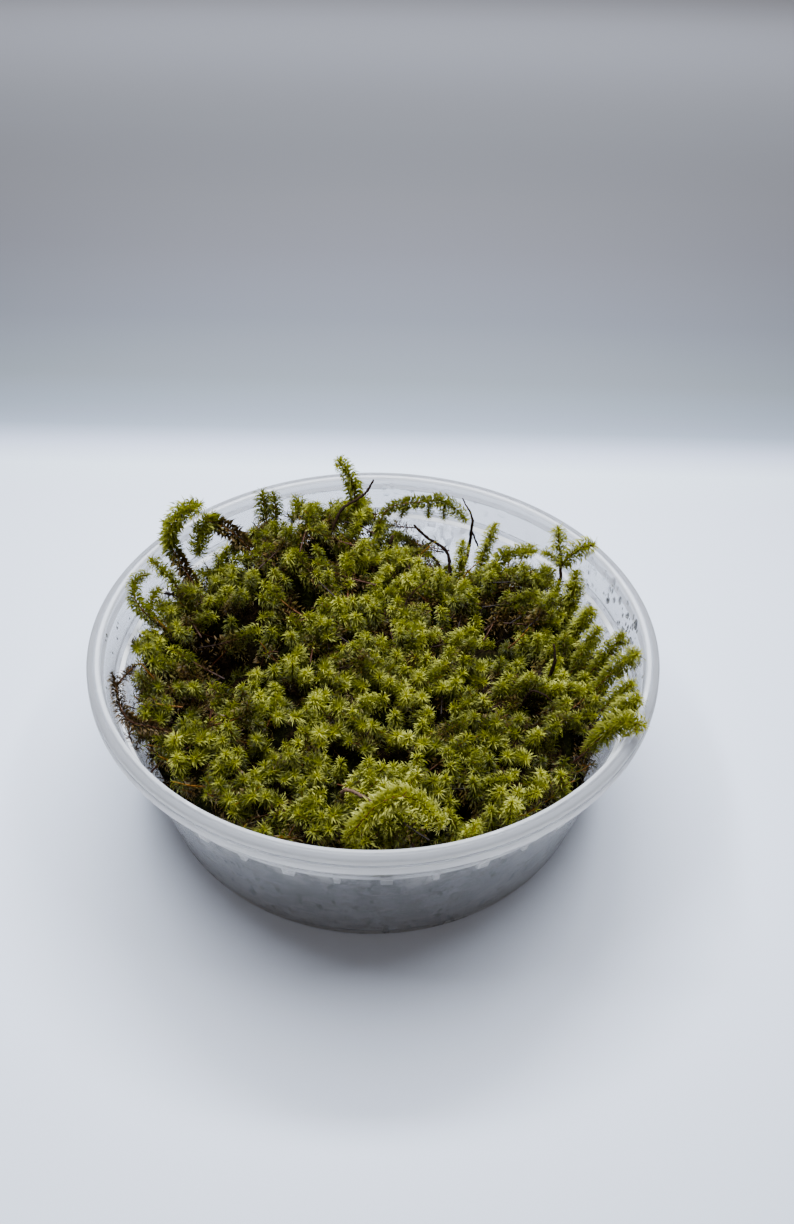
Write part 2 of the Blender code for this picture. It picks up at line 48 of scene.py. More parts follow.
class Wire:
    # a node socket that can be added, multiplied and passed on

    def __init__(self, tree, socket=None):
        self.tree = tree
        self.socket = socket

    def node(self, kind, settings=None, inputs=None, output=0):
        made = self.tree.nodes.new("ShaderNode" + kind)
        for name, value in (settings or {}).items():
            if name == "stops":
                self.setStops(made.color_ramp, value)
            else:
                setattr(made, name, value)
        for name, value in (inputs or {}).items():
            if isinstance(value, Wire):
                self.tree.links.new(value.socket, made.inputs[name])
            else:
                made.inputs[name].default_value = value
        return Wire(self.tree, made.outputs[output])

    def output(self, number):
        # another output of the same node
        return Wire(self.tree, self.socket.node.outputs[number])

    def setStops(self, ramp, stops):
        while len(ramp.elements) < len(stops):
            ramp.elements.new(0.5)
        for element, (place, colour) in zip(ramp.elements, stops):
            element.position = place
            element.color = (*colour, 1.0)

    def maths(self, operation, first, second):
        return self.node("Math", {"operation": operation}, {0: first, 1: second})

    def __add__(self, other):
        return self.maths("ADD", self, other)

    def __radd__(self, other):
        return self.maths("ADD", other, self)

    def __sub__(self, other):
        return self.maths("SUBTRACT", self, other)

    def __rsub__(self, other):
        return self.maths("SUBTRACT", other, self)

    def __mul__(self, other):
        return self.maths("MULTIPLY", self, other)

    def __rmul__(self, other):
        return self.maths("MULTIPLY", other, self)

    def step(self, low, high):
        inputs = {"Value": self, "From Min": low, "From Max": high}
        return self.node("MapRange", {"interpolation_type": "SMOOTHSTEP"}, inputs)

    def rises(self, place, edge):
        # from 0 to 1 between two distances from a place, in mm
        return self.step(place + edge[0] * mm, place + edge[1] * mm)

    def ramp(self, stops):
        return self.node("ValToRGB", {"stops": stops}, {"Fac": self})

    def mixColour(self, first, second):
        return self.node("Mix", {"data_type": "RGBA"}, {0: self, 6: first, 7: second}, 2)

    def attribute(self, name):
        return self.node("Attribute", {"attribute_name": name}, output=2)

    def position(self):
        return self.node("NewGeometry")

    def noise(self, place, scale, detail=3.0, roughness=0.55, distortion=0.0):
        inputs = {"Vector": place, "Scale": scale, "Detail": detail,
                  "Roughness": roughness, "Distortion": distortion}
        return self.node("TexNoise", None, inputs)

    def bump(self, height, strength, distance):
        return self.node("Bump", None,
                         {"Height": height, "Strength": strength, "Distance": distance})


def newMaterial(name):
    material = bpy.data.materials.new(name)
    material.use_nodes = True
    material.node_tree.nodes.clear()
    return material, Wire(material.node_tree)


def finishMaterial(material, shader):
    tree = material.node_tree
    target = tree.nodes.new("ShaderNodeOutputMaterial")
    tree.links.new(shader.socket, target.inputs["Surface"])
    return material


def skinShader(start, look, colour, height=None, rougher=None):
    # the usual surface: finish from the look, relief from a height
    roughness = look["roughness"] if rougher is None else rougher + look["roughness"]
    inputs = {"Base Color": colour, "Roughness": roughness, "IOR": look.get("ior", 1.5),
              "Transmission Weight": look.get("clear", 0.0)}
    if height:
        inputs["Normal"] = start.bump(height, look["bump"], look["bumpDepth"])
    return start.node("BsdfPrincipled", None, inputs)


def leafMaterial(look):
    # along runs up a leaf or stem, tone picks its colour, and stems use the lowest strip of tone
    material, start = newMaterial("moss_tissue")
    along = start.attribute("along")
    tone = start.attribute("tone")
    blade = tone.ramp(look["blade"])
    tip = tone.ramp(look["tip"])
    stem = along.ramp(look["stem"])
    leaf = along.step(look["tipStart"], 1.0).mixColour(blade, tip)
    isLeaf = tone.step(look["stemStrip"], look["stemStrip"] + 0.01)
    colour = isLeaf.mixColour(stem, leaf)
    skin = skinShader(start, look, colour)
    glow = start.node("BsdfTranslucent", None, {"Color": (*look["glow"], 1.0)})
    alive = tone.step(look["dead"], look["green"])
    mixed = start.node("MixShader", None, {0: alive * look["glowShare"], 1: skin, 2: glow})
    return finishMaterial(material, mixed)


def barkMaterial(name, look):
    material, start = newMaterial(name)
    place = start.position()
    grain = start.noise(place, look["grainScale"], 4.0, 0.65)
    patches = start.noise(place, look["patchScale"], 2.0)
    colour = grain.ramp(look["grain"])
    colour = patches.step(0.45, 0.7).mixColour(colour, (*look["patch"], 1.0))
    return finishMaterial(material, skinShader(start, look, colour, grain, grain * 0.3))


def milkShader(start, colour, frontShare):
    # white that light passes through, and a share of it that only reflects
    through = start.node("BsdfTranslucent", None, {"Color": (*colour, 1.0)})
    front = start.node("BsdfDiffuse", None, {"Color": (*colour, 1.0)})
    return start.node("MixShader", None, {0: frontShare, 1: through, 2: front})


def drawnOutNoise(start, place, scale):
    # noise drawn out along the axes with the smaller scale
    stretched = start.node("VectorMath", {"operation": "MULTIPLY"}, {0: place, 1: scale})
    return start.noise(stretched, 1.0, 2.0, 0.5)


def plasticMaterial(look):
    # clear and thin on the body, milky where the rim, rib and nubs stand out from the wall; painted shade
    # above the ledge, on the rim's top face and in its groove, and painted highlights at the lip, inner step
    # and foot
    material, start = newMaterial("frosted_tub_plastic")
    place = start.position()
    x = start.node("SeparateXYZ", None, {0: place})
    y, height = x.output(1), x.output(2)
    squared = x * x + y * y
    radius = squared.maths("POWER", squared, 0.5)
    ledge, bodyTop, edge = tub["ledge"], tub["bodyTop"], look["edges"]
    haze = start.noise(place, look["hazeScale"], 3.0, 0.6)
    scuff = start.noise(place, look["scuffScale"], 5.0, 0.7, 0.6)
    mottle = start.noise(place, look["mottleScale"], 6.0, 0.72).step(*look["mottleCut"])
    scratch = drawnOutNoise(start, place, look["scratchScale"]).step(*look["scratchCut"])
    marks = drawnOutNoise(start, place, look["markScale"]).step(*look["markCut"])
    marks = marks * (1 - height.rises(ledge, edge["marks"]))

    # how far a point stands out from the plain wall, below the ledge and above it
    wallRise = (bodyTop - tub["foot"]) / (ledge - tub["ledgeStep"] - tub["footEdge"])
    upperFoot = bodyTop + tub["ledgeStep"]
    upperRise = (tub["rimInner"] + 0.5 * tub["wall"] - upperFoot) / (tubHeight - tub["skirt"] - ledge)
    overWall = radius - (height - tub["footEdge"]) * wallRise
    overUpper = radius - (height - ledge) * upperRise
    isUpper = height.rises(ledge, edge["upper"])
    # line: a dark band in the rim's groove, painted shade, with the milk taken out
    line = height.rises(grooveHeight, edge["grooveLow"]) * radius.rises(rimRadius, edge["grooveInside"])
    line = line * (1 - height.rises(grooveHeight, edge["grooveHigh"]))
    # step and lip: the inner ledge step and the rim's inner lip, made white as painted highlights
    step = height.rises(ledge, edge["stepLow"]) * (1 - height.rises(ledge, edge["stepHigh"]))
    lip = height.rises(tubHeight, edge["lip"]) * (1 - radius.rises(tub["rimInner"], edge["lipOutside"]))
    masks = {
        "nubs": overWall.rises(tub["foot"], edge["standsOut"]) * (1 - isUpper),
        "rim": overUpper.rises(upperFoot, edge["standsOut"]) * isUpper,
        "top": height.rises(tubHeight, edge["top"]) * (1 - lip),
        "foot": 1 - height.rises(0, edge["foot"]),
        "step": step * (1 - radius.rises(bodyTop, edge["stepInside"])),
        "lip": lip,
    }
    cloudy = mottle * (height.rises(ledge, edge["band"]) + look["belowBand"]) * (1 - isUpper) * look["mottle"]
    cloudy = cloudy + scratch * look["scratch"] + look["wallMilk"]
    for name, share in look["milky"].items():
        cloudy = cloudy + masks[name] * share
    cloudy = cloudy * (1 - line)

    # painted shade: everything above the ledge is tinted darker grey
    colour = isUpper.mixColour(haze.ramp(look["colour"]), (*look["upper"], 1.0))
    colour = line.mixColour(colour, (*look["groove"], 1.0))
    colour = marks.mixColour(colour, (*look["marks"], 1.0))
    skin = skinShader(start, look, colour, haze * 0.5 + scuff * 0.5, scuff * look["roughnessSpread"])
    # painted highlights: more of the milk only reflects at the step, lip and foot edge
    front = (masks["step"] + masks["lip"] + masks["foot"]) * look["highlightFront"] + look["milkFront"]
    # painted shade: the rim's top face gets the darker top milk
    bright, shadedTopMilk = milkShader(start, look["milk"], front), milkShader(start, look["top"], front)
    milk = start.node("MixShader", None, {0: masks["top"], 1: bright, 2: shadedTopMilk})
    return finishMaterial(material, start.node("MixShader", None, {0: cloudy, 1: skin, 2: milk}))


def waterMaterial(look):
    material, start = newMaterial("water")
    return finishMaterial(material, skinShader(start, look, (*look["colour"], 1.0)))


def floorMaterial(look):
    material, start = newMaterial("pale_floor")
    place = start.position()
    split = start.node("SeparateXYZ", None, {0: place}, 1)
    # painted light and shade: the floor's colour changes with distance behind the tub
    near, far = look["paintedLightFade"][0][0], look["paintedLightFade"][-1][0]
    share = start.node("MapRange", None, {"Value": split, "From Min": near, "From Max": far})
    grain = start.noise(place, look["grainScale"], 3.0)
    colour = share.ramp([((y - near) / (far - near), shade) for y, shade in look["paintedLightFade"]])
    return finishMaterial(material, skinShader(start, look, colour, grain))


def smooth(value):
    value = np.clip(value, 0.0, 1.0)
    return value * value * (3.0 - 2.0 * value)


def unit(vectors):
    return vectors / np.maximum(np.linalg.norm(vectors, axis=-1, keepdims=True), 1e-9)


def curve(points, count):
    # smooth line of count points through the given ones
    points = np.asarray(points, float)
    ends = np.vstack([2 * points[0] - points[1], points, 2 * points[-1] - points[-2]])
    t = np.linspace(0, len(points) - 1, count)
    i = np.minimum(t.astype(int), len(points) - 2)
    f = (t - i)[:, None]
    a, b, c, d = ends[i], ends[i + 1], ends[i + 2], ends[i + 3]
    return 0.5 * (2 * b + (c - a) * f + (2 * a - 5 * b + 4 * c - d) * f ** 2
                  + (3 * b - a - 3 * c + d) * f ** 3)


def carried(line, seed=(0.31, 0.57, 0.22)):
    # directions along a line, and a side direction carried along it without twist
    along = unit(np.gradient(line, axis=0))
    side = np.empty_like(line)
    first = np.cross(along[0], np.array(seed))
    side[0] = first / np.linalg.norm(first)
    for k in range(1, len(line)):
        s = side[k - 1] - along[k] * side[k - 1].dot(along[k])
        side[k] = s / np.linalg.norm(s)
    return along, side


def newMesh(name, points, faces):
    # faces is a list of arrays, each with one face size
    mesh = bpy.data.meshes.new(name)
    sizes = np.concatenate([np.full(len(f), f.shape[1]) for f in faces])
    corners = np.concatenate([f.ravel() for f in faces])
    mesh.vertices.add(len(points))
    mesh.vertices.foreach_set("co", np.asarray(points, np.float32).ravel())
    mesh.loops.add(len(corners))
    mesh.loops.foreach_set("vertex_index", corners.astype(np.int32))
    mesh.polygons.add(len(sizes))
    starts = np.concatenate([[0], np.cumsum(sizes)[:-1]])
    mesh.polygons.foreach_set("loop_start", starts.astype(np.int32))
    mesh.polygons.foreach_set("use_smooth", np.ones(len(sizes), bool))
    mesh.update(calc_edges=True)
    mesh.validate()
    return mesh


def ringFaces(rings, around, first=0, flip=False):
    # numbers of the points in closed rings, those of their neighbours, and the faces between rings
    index = first + np.arange(rings * around).reshape(rings, around)
    right = np.roll(index, -1, axis=1)
    corners = [index[:-1], right[:-1], right[1:], index[1:]]
    if flip:
        corners = [corners[0], corners[3], corners[2], corners[1]]
    return index, right, np.stack(corners, -1).reshape(-1, 4)


def fan(centre, first, second):
    # triangles from one point to a ring
    return np.stack([np.full(len(first), centre), first, second], -1)


def ringAround(side, across, sides):
    # directions round a line, for each of its points
    angle = np.arange(sides) * 2 * math.pi / sides
    return side[:, None] * np.cos(angle)[None, :, None] + across[:, None] * np.sin(angle)[None, :, None]


def distances(line):
    return np.concatenate([[0], np.cumsum(np.linalg.norm(np.diff(line, axis=0), axis=1))])


def addPiece(name, mesh, material, replaced=()):
    piece = bpy.data.objects.new(name, mesh)
    bpy.context.scene.collection.objects.link(piece)
    mesh.materials.append(material)
    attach(piece, "root")
    if replaced:
        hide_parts(*replaced)
    return piece


tub = {
    "wall": 0.9 * mm, "rimInner": 55.7 * mm, "skirt": 3.6 * mm, "groove": 0.2 * mm,
    "ledge": 30.4 * mm, "ledgeStep": 0.9 * mm, "bodyTop": 54.1 * mm, "foot": 48.8 * mm,
    "footEdge": 1.2 * mm, "footRing": 45.0 * mm, "footRecess": 0.6 * mm,
    "rib": 0.5 * mm, "ribHigh": 0.5 * mm, "ribTop": (0.1 * mm, 0.7 * mm), "corner": 0.45 * mm,
    # the groove round the rim and the rim's bevel: inward and upward
    "notch": (0.3 * mm, 0.25 * mm), "notchTop": 0.6 * mm, "rimBevel": (0.35 * mm, 0.3 * mm),
    "rimInset": 0.2 * mm,
    # small blocks under the ledge: angles in degrees, wide and narrow in turn
    "nubs": 40, "nubFirst": 4.0, "nubWide": (2.1, 1.05), "nubEdge": 0.12,
    "between": (2.3, 3.7, 5.1, 6.5), "nubDrop": 2.2 * mm, "nubReach": 1.0 * mm,
    "plastic": {
        "colour": [(0.3, (0.79, 0.785, 0.78)), (0.7, (0.85, 0.845, 0.84))],
        # upper, top and groove are painted shade: above the ledge, on the rim's top face and in the groove
        "upper": (0.73, 0.73, 0.73), "top": (0.53, 0.53, 0.54), "groove": (0.30, 0.31, 0.33),
        "marks": (0.22, 0.22, 0.23), "milk": (0.845, 0.835, 0.835),
        "roughness": 0.12, "roughnessSpread": 0.14, "ior": 1.42, "clear": 1.0,
        "bump": 0.10, "bumpDepth": 0.1 * mm,
        "hazeScale": 60.0, "scuffScale": 900.0, "mottleScale": 230.0,
        "scratchScale": (120.0, 120.0, 1500.0), "markScale": (520.0, 520.0, 190.0),
        "mottleCut": (0.44, 0.60), "scratchCut": (0.66, 0.72), "markCut": (0.61, 0.67),
        # how milky the plastic is, all over and at its thick parts; the foot, step and lip milk are painted
        # highlights and the top's milk carries painted shade
        "wallMilk": 0.17, "mottle": 0.26, "belowBand": 0.4, "scratch": 0.14,
        "milky": {"nubs": 0.46, "rim": 0.42, "top": 0.40, "foot": 0.75, "step": 0.95, "lip": 0.22},
        "milkFront": 0.22, "highlightFront": 0.7,
        # where each part starts and ends, in mm from the place it belongs to
        "edges": {"upper": (-0.2, 0.1), "standsOut": (0.1, 0.4), "foot": (0.3, 1.5), "band": (-9.0, 0.0),
                  "marks": (-4.0, 0.0), "grooveLow": (0.0, 0.2), "grooveHigh": (0.45, 0.7),
                  "grooveInside": (-1.1, -0.9), "stepLow": (-1.0, -0.85), "stepHigh": (-0.1, 0.05),
                  "stepInside": (-0.15, -0.05), "lip": (-0.9, -0.5), "lipOutside": (0.8, 1.0),
                  "top": (-0.35, -0.2)},
    },
}
rimRadius, _, tubHeight = Vector(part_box("tub")[1])
tubFloor = tub["footRecess"] + tub["wall"]
grooveHeight = tubHeight - 0.5 * tub["skirt"]
nubTop = tub["ledge"] - 0.6 * tub["ledgeStep"]


def outerRadius(height):
    share = (height - tub["footEdge"]) / (tub["ledge"] - tub["ledgeStep"] - tub["footEdge"])
    return tub["foot"] + (tub["bodyTop"] - tub["foot"]) * share


def innerRadius(height):
    # inner face of the wall at any height, body, ledge and skirt
    body = outerRadius(height) - tub["wall"]
    ledgeInner = tub["bodyTop"] + tub["ledgeStep"] - tub["wall"]
    upper = ledgeInner + (tub["rimInner"] - ledgeInner) * (height - tub["ledge"]) / (
        tubHeight - tub["ledge"])
    return np.where(height < tub["ledge"] - tub["ledgeStep"], body, upper)


def roundedCorners(points, radius, steps=4):
    # the outline with its corners turned into short arcs
    made = []
    count = len(points)
    for k, here in enumerate(points):
        here = np.array(here)
        before = np.array(points[k - 1]) - here
        after = np.array(points[(k + 1) % count]) - here
        reach = min(radius, 0.42 * np.linalg.norm(before), 0.42 * np.linalg.norm(after))
        a = here + before / np.linalg.norm(before) * reach
        b = here + after / np.linalg.norm(after) * reach
        for s in np.linspace(0, 1, steps):
            made.append((1 - s) ** 2 * a + 2 * s * (1 - s) * here + s * s * b)
    return np.array(made)


def tubOutline():
    # half the tub's section, from under the foot up the outside and down the inside
    skirtLow = tubHeight - tub["skirt"]
    ledge, ledgeRadius = tub["ledge"], tub["bodyTop"] + tub["ledgeStep"]
    nubLow = nubTop - tub["nubDrop"]
    lipRadius = rimRadius - tub["groove"]
    inner = tub["foot"] - tub["wall"]
    return roundedCorners([
        (tub["footRing"], tub["footRecess"]), (tub["footRing"] + 0.5 * mm, 0.0),
        (tub["foot"] - tub["footEdge"], 0.0), (tub["foot"], tub["footEdge"]),
        (outerRadius(nubLow), nubLow), (outerRadius(nubTop), nubTop),
        (ledgeRadius + tub["rib"], ledge), (ledgeRadius + tub["rib"], ledge + tub["ribHigh"]),
        (ledgeRadius + tub["ribTop"][0], ledge + tub["ribTop"][1]),
        (tub["rimInner"] + 0.5 * tub["wall"], skirtLow), (rimRadius, skirtLow), (rimRadius, grooveHeight),
        (lipRadius - tub["notch"][0], grooveHeight + tub["notch"][1]),
        (lipRadius, grooveHeight + tub["notchTop"]), (lipRadius, tubHeight - tub["rimBevel"][1]),
        (lipRadius - tub["rimBevel"][0], tubHeight), (tub["rimInner"] + tub["rimInset"], tubHeight),
        (ledgeRadius - tub["wall"], ledge), (outerRadius(nubTop) - tub["wall"], nubTop - 0.3 * mm),
        (inner, tubFloor + tub["footEdge"]), (inner - tub["footEdge"], tubFloor),
    ], tub["corner"])


def tubColumns():
    # angles round the tub, close together at the sides of every nub, and which are on one
    degrees, onNub = [], []
    for k in range(tub["nubs"]):
        centre = tub["nubFirst"] + 360 * k / tub["nubs"]
        half = tub["nubWide"][k % 2] / 2
        edge = half + tub["nubEdge"]
        degrees += [centre + step for step in (-edge, -half, half, edge, *tub["between"])]
        onNub += [False, True, True] + [False] * (1 + len(tub["between"]))
    return np.radians(degrees), np.array(onNub)


def makeTub():
    outline = tubOutline()
    angle, onNub = tubColumns()
    rings, count = len(outline), len(angle)
    radius = np.repeat(outline[:, 0][:, None], count, axis=1)
    height = np.repeat(outline[:, 1][:, None], count, axis=1)
    # nubs: short stretches of the outer face pushed out under the ledge
    outside = radius > outerRadius(height) - 0.3 * tub["wall"]
    inBand = (height > nubTop - tub["nubDrop"] - 0.1 * mm) & (height < nubTop + 0.05 * mm)
    share = smooth((height - nubTop + tub["nubDrop"] + 0.3 * mm) / (0.4 * mm))
    radius = radius + np.where(onNub & outside & inBand, tub["nubReach"] * share, 0.0)
    points = np.stack([radius * np.cos(angle), radius * np.sin(angle), height], axis=-1)
    index, right, sides = ringFaces(rings, count)
    under, floor = rings * count, rings * count + 1
    caps = np.vstack([fan(under, right[0], index[0]), fan(floor, index[-1], right[-1])])
    allPoints = np.vstack([points.reshape(-1, 3), [(0, 0, tub["footRecess"]), (0, 0, tubFloor)]])
    mesh = newMesh("tub_shell", allPoints, [sides, caps])
    mesh.set_sharp_from_angle(angle=math.radians(40))
    addPiece("tub_shell", mesh, plasticMaterial(tub["plastic"]), ["tub"])
    print("tub done")


leafLook = {
    "tipStart": 0.38, "stemStrip": 0.10, "roughness": 0.50, "ior": 1.28,
    "glow": (0.32, 0.35, 0.002), "glowShare": 0.30, "dead": 0.24, "green": 0.50,
    # colours by tone: dead brown, rusty, dark green, green, yellow green, bright, pale; the near-black dark
    # green carries the hollows' painted shade
    "blade": [(0.12, (0.024, 0.012, 0.002)), (0.26, (0.034, 0.022, 0.002)),
              (0.38, (0.014, 0.018, 0.001)), (0.52, (0.058, 0.062, 0.001)),
              (0.66, (0.155, 0.157, 0.001)), (0.80, (0.310, 0.305, 0.002)),
              (1.00, (0.500, 0.490, 0.060))],
    "tip": [(0.12, (0.105, 0.062, 0.012)), (0.26, (0.125, 0.092, 0.014)),
            (0.38, (0.070, 0.072, 0.010)), (0.52, (0.210, 0.212, 0.030)),
            (0.66, (0.455, 0.452, 0.070)), (0.80, (0.640, 0.632, 0.145)),
            (1.00, (0.800, 0.780, 0.340))],
    "stem": [(0.0, (0.008, 0.004, 0.003)), (0.3, (0.050, 0.014, 0.003)),
             (0.6, (0.170, 0.065, 0.002)), (1.0, (0.160, 0.130, 0.003))],
}
leafShape = {
    "length": 2.35 * mm, "width": 0.30 * mm, "roll": 34.0, "looseRoll": 48.0,
    # points of a leaf, left and right in turn: how far along, and how wide
    "nearRows": [(0.14, 0.9), (0.30, 1.0), (0.52, 0.5), (0.75, 0.26)], "deepRows": [(0.25, 1.0), (0.6, 0.6)],
    "nearDepth": 8.0 * mm,
    # leaf spacing down from the tip: to this depth, this far apart
    "matSpacing": [(5.4 * mm, 0.044 * mm), (9.0 * mm, 0.12 * mm), (16 * mm, 0.32 * mm)],
    "branchSpacing": [(9 * mm, 0.066 * mm)], "looseSpacing": [(60 * mm, 0.036 * mm)],
    "sideSpacing": [(9 * mm, 0.22 * mm)], "firstGap": 0.12 * mm, "gapSpread": 0.04 * mm,
    "turnSpread": 0.25, "sizeSpread": 0.12, "toneSpread": 0.045,
    # how much darker leaves get for each mm down from the tip, and down to where: partly older, browner
    # tissue and partly painted shade
    "darker": 0.046, "darkDepth": 8 * mm, "rootDarker": 0.2, "greening": (0.0, 0.62),
    # how far a leaf opens from the stem, in degrees, old leaves and those in the bud
    "openBase": 22.0, "openTip": 150.0, "openSpread": (11.0, 30.0), "curl": 1.1,
    "budBase": 8.0, "budTip": 84.0, "budLength": 1.3 * mm, "budSmaller": 0.35, "budPaler": 0.10,
    "stemRadius": 0.20 * mm, "stemSides": 3, "stemTaper": (1.15, 0.6), "stemPaler": 0.35, "stemSpread": 0.05,
}


class LeafStore:
    # collects leaves and stems of one piece, and turns them into one mesh

    def __init__(self):
        self.leaves = []
        self.points = []
        self.faces = []
        self.tones = []
        self.count = 0

    def addStem(self, line, radius, shade):
        along, side = carried(line)
        sides = leafShape["stemSides"]
        ring = ringAround(side, np.cross(along, side), sides)
        self.faces.append(ringFaces(len(line), sides, self.count)[2])
        self.points.append((line[:, None] + ring * radius[:, None, None]).reshape(-1, 3))
        stemTone = np.full(len(line), leafLook["stemStrip"] / 2)
        self.tones.append(np.repeat(np.stack([shade, stemTone], -1), sides, axis=0))
        self.count += len(line) * sides

    def addShoot(self, line, rng, tone, spacing, size=1.0, rootTone=None, bare=0.0, stemRadius=None,
                 stemShade=0.5, roll=None, darker=None, greening=None, depth=0.0):
        # size scales the leaves, one number or one for each point of the line
        shape = leafShape
        far = distances(line)
        total = far[-1]
        along, side = carried(line, rng.normal(0, 1, 3))
        across = np.cross(along, side)
        thick, taper = shape["stemTaper"]
        stem = (stemRadius or shape["stemRadius"]) * (thick - taper * far / total)
        shade = stemShade + shape["stemPaler"] * (far / total - 0.5) + rng.normal(0, shape["stemSpread"])
        self.addStem(line, stem, np.clip(shade, 0.02, 0.98))
        left, start = [], shape["firstGap"]
        for end, gap in spacing:
            end = min(end, total * (1 - bare))
            left.append(np.arange(start, end, gap))
            start = max(start, end)
        left = np.concatenate(left)
        number = len(left)
        left = np.abs(left + rng.normal(0, shape["gapSpread"], number))
        s = np.clip(total - left, 0, total)
        turn = golden * np.arange(number) + rng.normal(0, shape["turnSpread"], number) + rng.uniform(0, 6.3)

        def at(values):
            return np.stack([np.interp(s, far, values[:, k]) for k in range(3)], axis=-1)

        axis = unit(at(along))
        out = at(side) * np.cos(turn)[:, None] + at(across) * np.sin(turn)[:, None]
        out = unit(out - axis * np.sum(out * axis, axis=1, keepdims=True))
        young = smooth(1 - left / shape["budLength"])
        scale = np.interp(s, far, np.broadcast_to(size, len(line)))
        scale = scale * rng.normal(1.0, shape["sizeSpread"], number)
        scale = scale * (1 - shape["budSmaller"] * young) * np.clip(0.5 + 2 * s / total, 0.5, 1.0)
        baseSpread, tipSpread = shape["openSpread"]
        openBase = shape["openBase"] * (1 - young) + shape["budBase"] * young
        openTip = shape["openTip"] * (1 - young) + shape["budTip"] * young
        openBase = openBase + rng.normal(0, baseSpread, number)
        openTip = openTip + rng.normal(0, tipSpread, number)
        low = tone - shape["rootDarker"] if rootTone is None else rootTone
        greenFrom, greenTo = greening or shape["greening"]
        turned = smooth((s / total - greenFrom) / (greenTo - greenFrom))
        leafTone = low + (tone - low) * turned + rng.normal(0, shape["toneSpread"], number)
        # leaves lower down the shoot get a lower tone: partly older tissue, partly painted shade
        fall = shape["darker"] if darker is None else darker
        leafTone = leafTone + shape["budPaler"] * young - fall * np.minimum(left, shape["darkDepth"]) / mm
        width = scale ** 0.5 * shape["width"] * rng.normal(1, shape["sizeSpread"], number)
        self.leaves.append(np.column_stack([
            at(line) + out * (np.interp(s, far, stem) * 0.7)[:, None], axis, out,
            scale * shape["length"], width, np.radians(openBase), np.radians(openTip),
            np.clip(leafTone, 0.12, 1.0), np.radians(rng.normal(0, roll or shape["roll"], number)),
            left + depth]))

    def leafBlades(self, data, rows, start):
        # many leaves at once, each a curling ribbon whose points lie left and right in turn
        base, axis, out = data[:, 0:3], data[:, 3:6], data[:, 6:9]
        length, width, openBase, openTip, tone, roll = data[:, 9:15].T
        wide = np.cross(axis, out)
        places, uvs = [base], [0.0]
        spot, previous, side = base, 0.0, 1.0
        for u, w in rows + [(1.0, 0.0)]:
            bend = openBase + (openTip - openBase) * ((u + previous) / 2) ** leafShape["curl"]
            way = axis * np.cos(bend)[:, None] + out * np.sin(bend)[:, None]
            back = axis * np.sin(bend)[:, None] - out * np.cos(bend)[:, None]
            spot = spot + way * (length * (u - previous))[:, None]
            half = wide * np.cos(roll)[:, None] + back * np.sin(roll)[:, None]
            places.append(spot + half * (0.5 * side * width * w)[:, None])
            uvs.append(u)
            previous, side = u, -side
        perLeaf = len(places)
        first = start + np.arange(len(data))[:, None] * perLeaf
        tris = [first + np.array([k + k % 2, k + 1 - k % 2, k + 2]) for k in range(perLeaf - 2)]
        tones = np.stack([np.tile(uvs, len(data)), np.repeat(tone, perLeaf)], axis=-1)
        return np.stack(places, axis=1).reshape(-1, 3), tones, tris

    def build(self, name, material, slot, replaced=()):
        data = np.vstack(self.leaves)
        near = data[:, 15] < leafShape["nearDepth"]
        points, tones, tris, count = list(self.points), list(self.tones), [], self.count
        for chosen, rows in ((near, leafShape["nearRows"]), (~near, leafShape["deepRows"])):
            made = self.leafBlades(data[chosen], rows, count)
            count += len(made[0])
            points.append(made[0])
            tones.append(made[1])
            tris += made[2]
        tones = np.vstack(tones)
        mesh = newMesh(name, insideTub(np.vstack(points)), [np.vstack(self.faces), np.vstack(tris)])
        for column, label in enumerate(("along", "tone")):
            layer = mesh.attributes.new(label, "FLOAT", "POINT")
            layer.data.foreach_set("value", tones[:, column].astype(np.float32))
        corners = np.empty(len(mesh.loops), np.int32)
        mesh.loops.foreach_get("vertex_index", corners)
        bakeMap = mesh.uv_layers.new(name="OFBake")
        bakeMap.data.foreach_set("uv", (0.01 + 0.98 * tones[corners]).astype(np.float32).ravel())
        return addPiece(name, mesh, material, replaced)


def insideTub(points):
    # leaves that would pass through the wall or the floor lie against it
    radius = np.hypot(points[:, 0], points[:, 1])
    limit = innerRadius(points[:, 2]) - 0.12 * mm
    below = (points[:, 2] < tubHeight + 0.3 * mm) & (radius > limit)
    share = np.where(below, limit / np.maximum(radius, 1e-6), 1.0)
    points = points.copy()
    points[:, :2] *= share[:, None]
    points[:, 2] = np.maximum(points[:, 2], tubFloor + 0.1 * mm)
    return points


